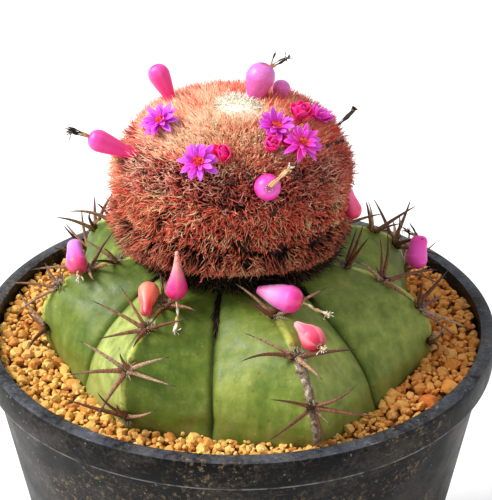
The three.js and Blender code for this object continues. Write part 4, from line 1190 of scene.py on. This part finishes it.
def make_cap():
    core_line = cap_outline(0.9)[::-1]
    low = [(float(r), float(h)) for r, h in core_line if r > 0.2][::6]
    profile = [(float(cap_radius(COLLAR_TOP + 0.3)) - 2.2, COLLAR_TOP - 3.3), *low, (0.5, CAP_TOP - 0.9)]
    core = leaned(turned(profile, 72))
    # Painted shade: the core is dark low down, deep among the bristles, and pale at its top
    note(core, "chance", clamp((points_of(core)[:, 2] / MM - 184) / 6))  # dark below 184 mm, pale from 190 mm
    done(finished(core, "cap_core"), "cap_core", "red_bristles", "cap")

    short = strand_form(3, 1, lambda z: (1 - z) ** 0.5)
    long = strand_form(3, 2, lambda z: (1 - z) ** 0.45)

    def lit(a):
        """1 on the front left of the cap, falling to 0 at its back right."""
        return 0.5 + 0.5 * np.cos(a + 0.72 * math.pi)

    def front(a):
        return np.maximum(-np.sin(a), 0) ** 2

    def right(a):
        return clamp(1.6 * np.cos(a + 0.4 * math.pi))

    def slim(a):
        return 1 - clamp(0.4 * np.cos(a), -0.2, 0.4)

    bristle_zone("dome_wool", short, 51, (0.1, 0.45), locks=640, each=7, spread=0.9, lengths=(1.6, 2.6),
                 widths=(0.26, 0.38), wild=0.5, gather=0.1, mixed=0.13,
                 hang=lambda s, a: (0.3, 0, 1),
                 shade=lambda hue, s, a: 0.3 + 0.4 * hue + 0.5 * lit(a) - 0.5 * clamp((s - 0.3) * 4))
    bristle_zone("dome_bristles", short, 52, (0.03, 0.47), locks=1000, each=13, spread=0.8, lengths=(4.0, 5.8),
                 widths=(0.17, 0.29), wild=0.24, gather=0.16, mixed=0.27,
                 hang=lambda s, a: (0.75 * clamp((s - 0.08) * 8) * clamp(2.2 - 4 * s), -0.1,
                                    clamp(0.7 + 5 * (s - 0.1), 0.6, 1)
                                    * (1 - 0.85 * (1 - front(a)) * clamp((0.125 - s) * 30))),
                 shade=lambda hue, s, a: (0.6 * hue - 0.02 + 0.62 * lit(a) + 0.6 * clamp((0.19 - s) * 9)
                                          - 0.5 * clamp((s - 0.36) * 5)))
    bristle_zone("middle_wool", short, 56, (0.43, 0.7), locks=380, each=7, spread=1.1, lengths=(1.8, 3.0),
                 widths=(0.24, 0.36), wild=0.6, gather=0.2, mixed=0.2,
                 hang=lambda s, a: (0, 0, 1),
                 shade=lambda hue, s, a: 0.8 * hue + 0.1 + 0.2 * lit(a))
    bristle_zone("middle_bristles", short, 53, (0.43, 0.68), locks=440, each=15, spread=1.1, lengths=(3.0, 4.8),
                 widths=(0.2, 0.32), wild=0.5, gather=0.25, mixed=0.2,
                 hang=lambda s, a: (0, 0.3 * clamp((s - 0.44) * 4),
                                    1 + 0.4 * clamp(-np.cos(a)) + 0.15 * clamp(np.cos(a))),
                 shade=lambda hue, s, a: 0.8 * hue + 0.18 + 0.16 * lit(a))
    bristle_zone("side_bristles", long, 54, (0.62, 0.83), locks=325, each=24, spread=1.0, lengths=(4.6, 6.6),
                 widths=(0.2, 0.32), wild=0.36, gather=0.36, mixed=0.2,
                 hang=lambda s, a: (0, 0.25 + 0.5 * clamp((s - 0.64) * 6),
                                    (1 - 0.3 * clamp((s - 0.76) * 15) * right(a)) * slim(a)
                                    * (1 - 0.3 * clamp((s - 0.66) * 8))),
                 shade=lambda hue, s, a: 0.95 * hue + 0.08 + 0.14 * lit(a))
    bristle_zone("foot_bristles", long, 55, (0.85, 1.0), locks=240, each=24, spread=1.0, lengths=(4.4, 6.2),
                 widths=(0.2, 0.32), wild=0.34, gather=0.3, mixed=0.2,
                 hang=lambda s, a: (0.45, 0.5, (1 - 0.75 * front(a) * clamp((s - 0.9) * 14)) * slim(a)),
                 shade=lambda hue, s, a: 0.9 * hue + 0.04 + 0.16 * lit(a))
    discard(short, long)


def make_crown():
    rng = np.random.default_rng(8)
    form = strand_form(3, 1, lambda z: (1 - z) ** 0.35)
    disc = leaned(turned([(CROWN_RADIUS - 0.4, CAP_TOP - 1.6), (CROWN_RADIUS - 0.2, CAP_TOP - 0.8),
                          (6.6, CAP_TOP - 0.2), (5, CAP_TOP + 0.9), (3.2, CAP_TOP + 1.7), (0.4, CAP_TOP + 2)], 40),
                  WOOL_BACK / 2)
    note(disc, "chance", 0.4)
    out = ring(rng.uniform(0, 2 * math.pi, CROWN_HAIRS))
    radius = np.sqrt(rng.random(CROWN_HAIRS)) * WOOL_RADIUS
    height = np.interp(radius, [0, 3.2, 5, 6.6, WOOL_RADIUS], CAP_TOP + np.array([1.9, 1.6, 0.9, 0, -0.4]))
    roots = out * radius[:, None] + UP * height[:, None] + [0, WOOL_BACK, 0]
    outer = clamp((radius - 4.5) / 3)[:, None]
    reaches = out * (radius[:, None] * 0.12 + 0.9 * outer) + rng.normal(0, 0.55, (CROWN_HAIRS, 3))
    reaches = reaches + UP * rng.uniform(0.1, 0.9, (CROWN_HAIRS, 1))
    hairs = leaned_strands(form, roots, reaches, np.full(CROWN_HAIRS, 0.15), rng.normal(0, 0.3, (CROWN_HAIRS, 3)),
                           rng.random(CROWN_HAIRS), clamp(rng.random(CROWN_HAIRS) * 0.5 + 0.6 - 0.9 * outer[:, 0]))
    done(finished(joined([hairs, disc]), "crown_wool"), "crown_wool", "white_wool", "cap_crown")
    discard(form)


def make_collar():
    rng = np.random.default_rng(6)
    edge = float(cap_radius(COLLAR_TOP))
    form = strand_form(3, 2, lambda z: (1 - z) ** 0.5)
    band = leaned(turned([(edge - 5, COLLAR_BOTTOM), (edge - 2.2, COLLAR_BOTTOM + 1.5),
                          (edge - 1.2, COLLAR_TOP - 2), (edge - 1.2, COLLAR_TOP), (3, COLLAR_TOP)], 72))
    note(band, "chance", 0.1)
    count = COLLAR_HAIRS
    out = ring(rng.uniform(0, 2 * math.pi, count))
    height = rng.uniform(COLLAR_BOTTOM + 0.4, COLLAR_TOP + 2.2, count)
    inset = np.interp(height, [COLLAR_BOTTOM, COLLAR_BOTTOM + 1.5, COLLAR_TOP - 2], [5.2, 2.6, 1.6])
    roots = out * (edge - inset)[:, None] + UP * height[:, None]
    reaches = out * rng.uniform(1.2, 4.6, count)[:, None] + rng.normal(0, 1.0, (count, 3)) * [1, 1, 0.6]
    reaches = reaches - UP * rng.uniform(-0.2, 1.3, count)[:, None]
    floor_gap = roots[:, 2] + reaches[:, 2] - COLLAR_BOTTOM + 0.8
    reaches[:, 2] -= np.minimum(floor_gap, 0)
    hairs = leaned_strands(form, roots, reaches, rng.uniform(0.14, 0.24, count), rng.normal(0, 0.5, (count, 3)),
                           rng.random(count))
    starts, ends = [], []
    for i, rib in enumerate(RIBS):
        after = RIBS[(i + 1) % len(RIBS)]
        count, deep = GROOVE_THREADS[i == FRONT_GROOVE]
        height = 23.5 - deep * rng.random(count) ** 1.2
        place, below = (stem_point(rib["groove"], h, groove_radius(rib, after, h) - 0.4)
                        for h in (height, height - 1.6))
        starts.append(place + rng.normal(0, 0.45, (count, 3)))
        ends.append(below + rng.normal(0, 0.6, (count, 3)) + (below - place) * rng.random((count, 1)))
    starts, ends = np.concatenate(starts), np.concatenate(ends)
    count = len(starts)
    threads = strands(form, starts, ends - starts, rng.uniform(0.12, 0.22, count), rng.normal(0, 0.3, (count, 3)),
                      rng.random(count))
    done(finished(joined([hairs, threads, band]), "old_wool"), "old_wool_collar", "old_wool", "cap_collar")
    discard(form)


# Flowers, buds and berries

def petal_form():
    """One pointed petal along +X, one unit long and one unit from its middle line to its edge, channelled."""
    alone()
    bpy.ops.mesh.primitive_grid_add(x_subdivisions=9, y_subdivisions=4, size=1, location=(0.5, 0, 0))
    piece = bpy.context.object
    bpy.ops.object.transform_apply(location=True, rotation=True, scale=True)
    points = points_of(piece)
    along, side = clamp(points[:, 0]), points[:, 1] * 2
    width = (4 * along * (1 - along) + 0.015) ** 0.85 * (0.8 + 0.25 * along)
    move_points(piece, np.stack([along, side * width, 0.05 * side ** 2 * width], 1))
    note(piece, "along", along)
    note(piece, "across", np.abs(side))
    return piece


def make_bloom(name, stands_for, slot, bloom, rings, seed, petal, hair, threads):
    """Petals in rings round a tube; a ring is count, length, half width, rise, start, curl, radius, height."""
    rng = np.random.default_rng(seed)
    tube = turned([(0.8, -6), (1.1, -5), (1.4, -1.4), (1.5, 0.1), (1.3, 0.8), (0.3, 1.0)], 16)
    note(tube, "along", clamp(points_of(tube)[:, 2] / MM / 8 + 0.6) * 0.4)
    note(tube, "across", 0)
    note(tube, "chance", 0.9)
    petals = []
    for count, length, half, rise, start, curl, out, height in rings:
        for i in range(count):
            petals.append((start + i * 360 / count + rng.uniform(-9, 9), math.radians(rise + rng.uniform(-9, 9)),
                           length * rng.uniform(0.82, 1.1), half * rng.uniform(0.8, 1.14),
                           curl + rng.uniform(-0.14, 0.16), out, height, rng.uniform(-0.45, 0.45)))

    def place(points):
        copies = []
        for angle, rise, length, half, curl, out, height, twist in petals:
            x, y, z = points[:, 0] * length, points[:, 1] * half, points[:, 2] * half * 4
            z = z - curl * points[:, 0] ** 2 * length + twist * y * points[:, 0]
            c, s = math.cos(rise), math.sin(rise)
            ca, sa = math.cos(math.radians(angle)), math.sin(math.radians(angle))
            far = x * c - z * s + out
            copies.append(np.stack([far * ca - y * sa, far * sa + y * ca, x * s + z * c + height], 1))
        return np.array(copies)

    blades = planted(petal, place)
    for key in ("along", "across"):
        own = np.zeros(len(petal.data.vertices), np.float32)
        petal.data.attributes[key].data.foreach_get("value", own)
        note(blades, key, np.tile(own, len(petals)))
    shade = clamp(bloom["warmth"] + rng.uniform(-0.15, 0.2, len(petals)))
    note(blades, "chance", np.repeat(shade, len(petal.data.vertices)))
    take(blades)
    wall = blades.modifiers.new("wall", "SOLIDIFY")
    wall.thickness, wall.offset = PETAL_WALL * MM, 0
    bpy.ops.object.modifier_apply(modifier="wall")
    piece = finished(joined([blades, tube]), "petal")
    if threads:
        angle, tilt = rng.uniform(0, 2 * math.pi, threads), np.sqrt(rng.random(threads)) * 0.8
        aim = np.stack([np.cos(angle) * tilt, np.sin(angle) * tilt, np.ones(threads)], 1)
        disc = strands(hair, aim * [1.2, 1.2, 0] + UP * 0.7, aim * rng.uniform(0.7, 1.3, (threads, 1)),
                       np.full(threads, 0.2), rng.normal(0, 0.05, (threads, 3)), rng.random(threads))
        piece = joined([piece, finished(disc, "stamens")])
    done(stand(piece, bloom["at"], bloom["faces"]), name, slot, stands_for)


def make_flowers():
    petal = petal_form()
    hair = strand_form(4, 2, lambda z: 0.6 + 0.8 * (z > 0.7) * (z < 0.999))
    for number, flower in enumerate(FLOWERS, 1):
        lift, turn, recurve = flower["lift"], flower["turn"], flower["recurve"]
        rings = [(9, 5.2, 1.04, lift - 7, turn, recurve + 0.06, 0.8, 0.1),
                 (8, 4.9, 0.94, lift + 6, turn + 20, recurve, 0.8, 0.4),
                 (6, 3.6, 0.66, lift + 22, turn + 8, recurve - 0.08, 0.9, 0.7)]
        make_bloom(f"open_flower_{number}", f"flower_{number}", "magenta_petals", flower, rings, 40 + number,
                   petal, hair, STAMENS)
    for number, bud in enumerate(BUDS, 1):
        r, lift = bud["radius"], bud["lift"]
        rings = [(7, 1.5 * r, 0.66 * r, lift - 16, 12, -0.24, 0.42 * r, -1.2),
                 (6, 1.45 * r, 0.6 * r, lift - 2, 42, -0.28, 0.36 * r, -0.7),
                 (5, 1.35 * r, 0.5 * r, lift + 10, 75, -0.28, 0.2 * r, -0.1)]
        make_bloom(f"flower_bud_{number}", f"bud_{number}", "magenta_bud", bud, rings, 60 + number, petal, hair, 0)
    discard(petal, hair)


def remnant(number, hair, rng):
    """What is left of the flower on a berry: thin shrunken strips along a bent line, with a tuft at its end."""
    look, base, stops, thick = REMNANTS[number]
    pale = 0.75 if number in PALE_REMNANTS else 0.2
    base, stops = np.array(base, float), [np.array(stop, float) for stop in stops]
    ends = [(base, stop) for stop in stops] if look == "black_remnants" else list(zip([base, *stops], stops))
    roots, reaches, radii = [], [], []
    for start, end in ends:
        for _ in range(3):
            roots.append(start + rng.normal(0, 0.18, 3))
            reaches.append(end - start + rng.normal(0, 0.3, 3))
            radii.append(thick * rng.uniform(0.55, 1.0))
    tuft = stops[-1] - (stops[-1] - base) * 0.1
    length = np.linalg.norm(stops[-1] - base)
    for _ in range(TUFT):
        roots.append(tuft + rng.normal(0, 0.15, 3))
        reaches.append((stops[-1] - base) / length * 0.8 + rng.normal(0, 0.75, 3))
        radii.append(0.16)
    count = len(roots)
    strips = strands(hair, roots, reaches, radii, rng.normal(0, 0.22, (count, 3)), rng.random(count),
                     clamp(np.repeat([pale, 0.95], [count - TUFT, TUFT]) + rng.normal(0, 0.12, count)))
    return finished(strips, look)


def make_fruit(number, hair, narrow, fat, thin, radius, skin, shares=(0.16, 0.6)):
    """A berry drawn from its narrow to its fat end, with the dried ring and flower on the fat end."""
    rng = np.random.default_rng(70 + number)
    start, end = np.array(narrow, float), np.array(fat, float)
    axis = end - start
    length = np.linalg.norm(axis)
    axis /= length
    top = length + radius * 0.93
    swell, (low_share, mid_share) = radius - thin, shares
    line = smooth_curve([(0.12, -0.5 * thin), (thin * 0.72, -0.32 * thin), (thin, 0.4),
                         (thin + low_share * swell, length * 0.34), (thin + mid_share * swell, length * 0.62),
                         (radius * 0.96, length * 0.87), (radius, length),
                         (radius * 0.83, length + radius * 0.52), (radius * 0.46, length + radius * 0.84),
                         (0.12, top)], 4)
    berry = turned([(max(a, 0.1), b) for a, b in line], 32)
    points = points_of(berry) / MM
    share = clamp(points[:, 2] / top)
    around = np.arctan2(points[:, 1], points[:, 0])
    streak = np.array([0.5 + 0.9 * noise.noise(Vector((2.6 * math.cos(a), 2.6 * math.sin(a), 0.8 * s + number)))
                       for a, s in zip(around, share)])
    wrinkle = 0.05 if skin == "coral" else 0.014
    lump = 1 + wrinkle * (np.sin(3 * around + number) * np.sin(share * 3) + 1.6 * (streak - 0.5))
    points[:, :2] *= lump[:, None]
    points[:, 0] += 0.3 * np.sin(share * math.pi)
    move_points(berry, points * MM)
    note(berry, "along", share)
    note(berry, "streak", streak)
    pieces = [finished(stand(berry, narrow, axis, number * 1.3), f"berry_{skin}")]
    if number in REMNANTS:
        pieces.append(remnant(number, hair, rng))
    side = np.array(across(axis[None], np.array([0.3])))[:, 0]
    turn = np.linspace(0, 2 * math.pi, SCAR_HAIRS, endpoint=False)[:, None]
    out = side[0] * np.cos(turn) + side[1] * np.sin(turn)
    wide = SCAR_WIDTHS.get(number, USUAL_SCAR)
    scar = strands(hair, start + axis * (top - 0.25) + out * wide * 0.5,
                   out * wide + axis * rng.uniform(0.1, 0.6, (SCAR_HAIRS, 1)) * wide, np.full(SCAR_HAIRS, 0.15),
                   rng.normal(0, 0.06, (SCAR_HAIRS, 3)), rng.random(SCAR_HAIRS), np.full(SCAR_HAIRS, 0.3))
    pieces.append(finished(scar, "straw_remnants" if number in STRAW_SCARS else "black_remnants"))
    done(joined(pieces), f"pink_berry_{number}", "pink_berry", f"fruit_{number}")


def make_dry_parts(hair):
    """The dried flower that still stands in the bristles, and the small bits caught between them."""
    root, tip = (np.array(DRIED_FLOWER[key], float) for key in ("root", "tip"))
    rng = np.random.default_rng(4)
    thick = [0.6, 0.45, 0.4, 0.3, 0.3]
    count = len(thick)
    stray = rng.normal(0, 0.4, (count, 3))
    stray[0] = 0
    stalk = strands(hair, root + rng.normal(0, 0.12, (count, 3)), tip - root + stray, thick,
                    rng.normal(0, 0.2, (count, 3)), rng.random(count), np.full(count, 0.9))
    count = 7
    knot = strands(hair, np.tile(tip - (tip - root) * 0.08, (count, 1)),
                   rng.normal(0, 0.7, (count, 3)) + (tip - root) * 0.06, np.full(count, 0.4),
                   rng.normal(0, 0.1, (count, 3)), rng.random(count))
    done(finished(joined([stalk, knot]), "black_remnants"), "dry_flower", "dried_flower", "dried_flower")
    roots, reaches = [], []
    for place, outwards, length in DRY_BITS:
        run = np.array(outwards) * 0.3 + rng.normal(0, 0.6, 3)
        for _ in range(4):
            roots.append(np.array(place) + np.array(outwards) * 0.8 + rng.normal(0, 0.2, 3))
            reaches.append((run + rng.normal(0, 0.25, 3)) * length)
    count = len(roots)
    bits = strands(hair, roots, reaches, rng.uniform(0.15, 0.42, count), rng.normal(0, 0.2, (count, 3)),
                   rng.random(count))
    done(finished(bits, "dry_flower_bits"), "dry_flower_bits", "dried_flower")


def make_fruits():
    hair = strand_form(5, 5, lambda z: 0.7 + 0.4 * np.sin(z * 11) - 0.3 * z ** 4)
    for number, fruit in enumerate(FRUITS, 1):
        make_fruit(number, hair, **fruit)
    make_dry_parts(hair)
    discard(hair)


# Studio

AIR_STRENGTH = 0.66
# Soft light from the upper left, in metres and watts
LIGHT_PLACE, LIGHT_AIM, LIGHT_SIZE, LIGHT_POWER = (-1.85, -0.08, 1.95), (0, 0, 0.14), 0.9, 92
# Camera as worked out from the pot's rim in the photo: distance from the middle of the mouth in millimetres, angle
# of that line over the level, and the camera's own tilt and turn in degrees; then the focal length in pixels
CAMERA_DISTANCE, CAMERA_CLIMB, CAMERA_TILT, CAMERA_TURN = 6.573 * RIM_RADIUS, 29.842, 27.587, -0.312
FOCAL_PIXELS, PHOTO_HEIGHT, SENSOR = 1680.35, 500, 36


def make_studio():
    alone()
    bpy.ops.mesh.primitive_plane_add(size=8, location=(0, 0, -0.0005))
    ground = bpy.context.object
    ground.name = "studio_floor"
    ground.data.materials.append(LOOKS["floor"].material)
    world = bpy.data.worlds.new("studio_air")
    bpy.context.scene.world = world
    world.use_nodes = True
    air = world.node_tree.nodes["Background"]
    air.inputs["Color"].default_value = (1, 1, 1, 1)
    air.inputs["Strength"].default_value = AIR_STRENGTH
    light = bpy.data.objects.new("key_light", bpy.data.lights.new("key_light", "AREA"))
    light.data.size = LIGHT_SIZE
    light.data.energy = LIGHT_POWER
    light.location = LIGHT_PLACE
    light.rotation_euler = (Vector(LIGHT_AIM) - light.location).to_track_quat("-Z", "Y").to_euler()
    bpy.context.scene.collection.objects.link(light)
    camera = bpy.data.objects.new("photo_camera", bpy.data.cameras.new("photo_camera"))
    bpy.context.scene.collection.objects.link(camera)
    climb = math.radians(CAMERA_CLIMB)
    camera.location = (0, -CAMERA_DISTANCE * math.cos(climb) * MM,
                       (CAMERA_DISTANCE * math.sin(climb) + POT_HEIGHT) * MM)
    camera.rotation_euler = (math.radians(90 - CAMERA_TILT), 0, math.radians(CAMERA_TURN))
    camera.data.sensor_width = SENSOR
    camera.data.lens = FOCAL_PIXELS / PHOTO_HEIGHT * SENSOR
    camera.data.clip_start = 0.01
    camera.data.clip_end = 20
    bpy.context.scene.camera = camera
    bpy.context.scene.view_settings.view_transform = "Standard"


for make in (make_studio, make_pot, make_bed, make_gravel, make_stem, make_spines,
             make_cap, make_crown, make_collar, make_flowers, make_fruits):
    make()
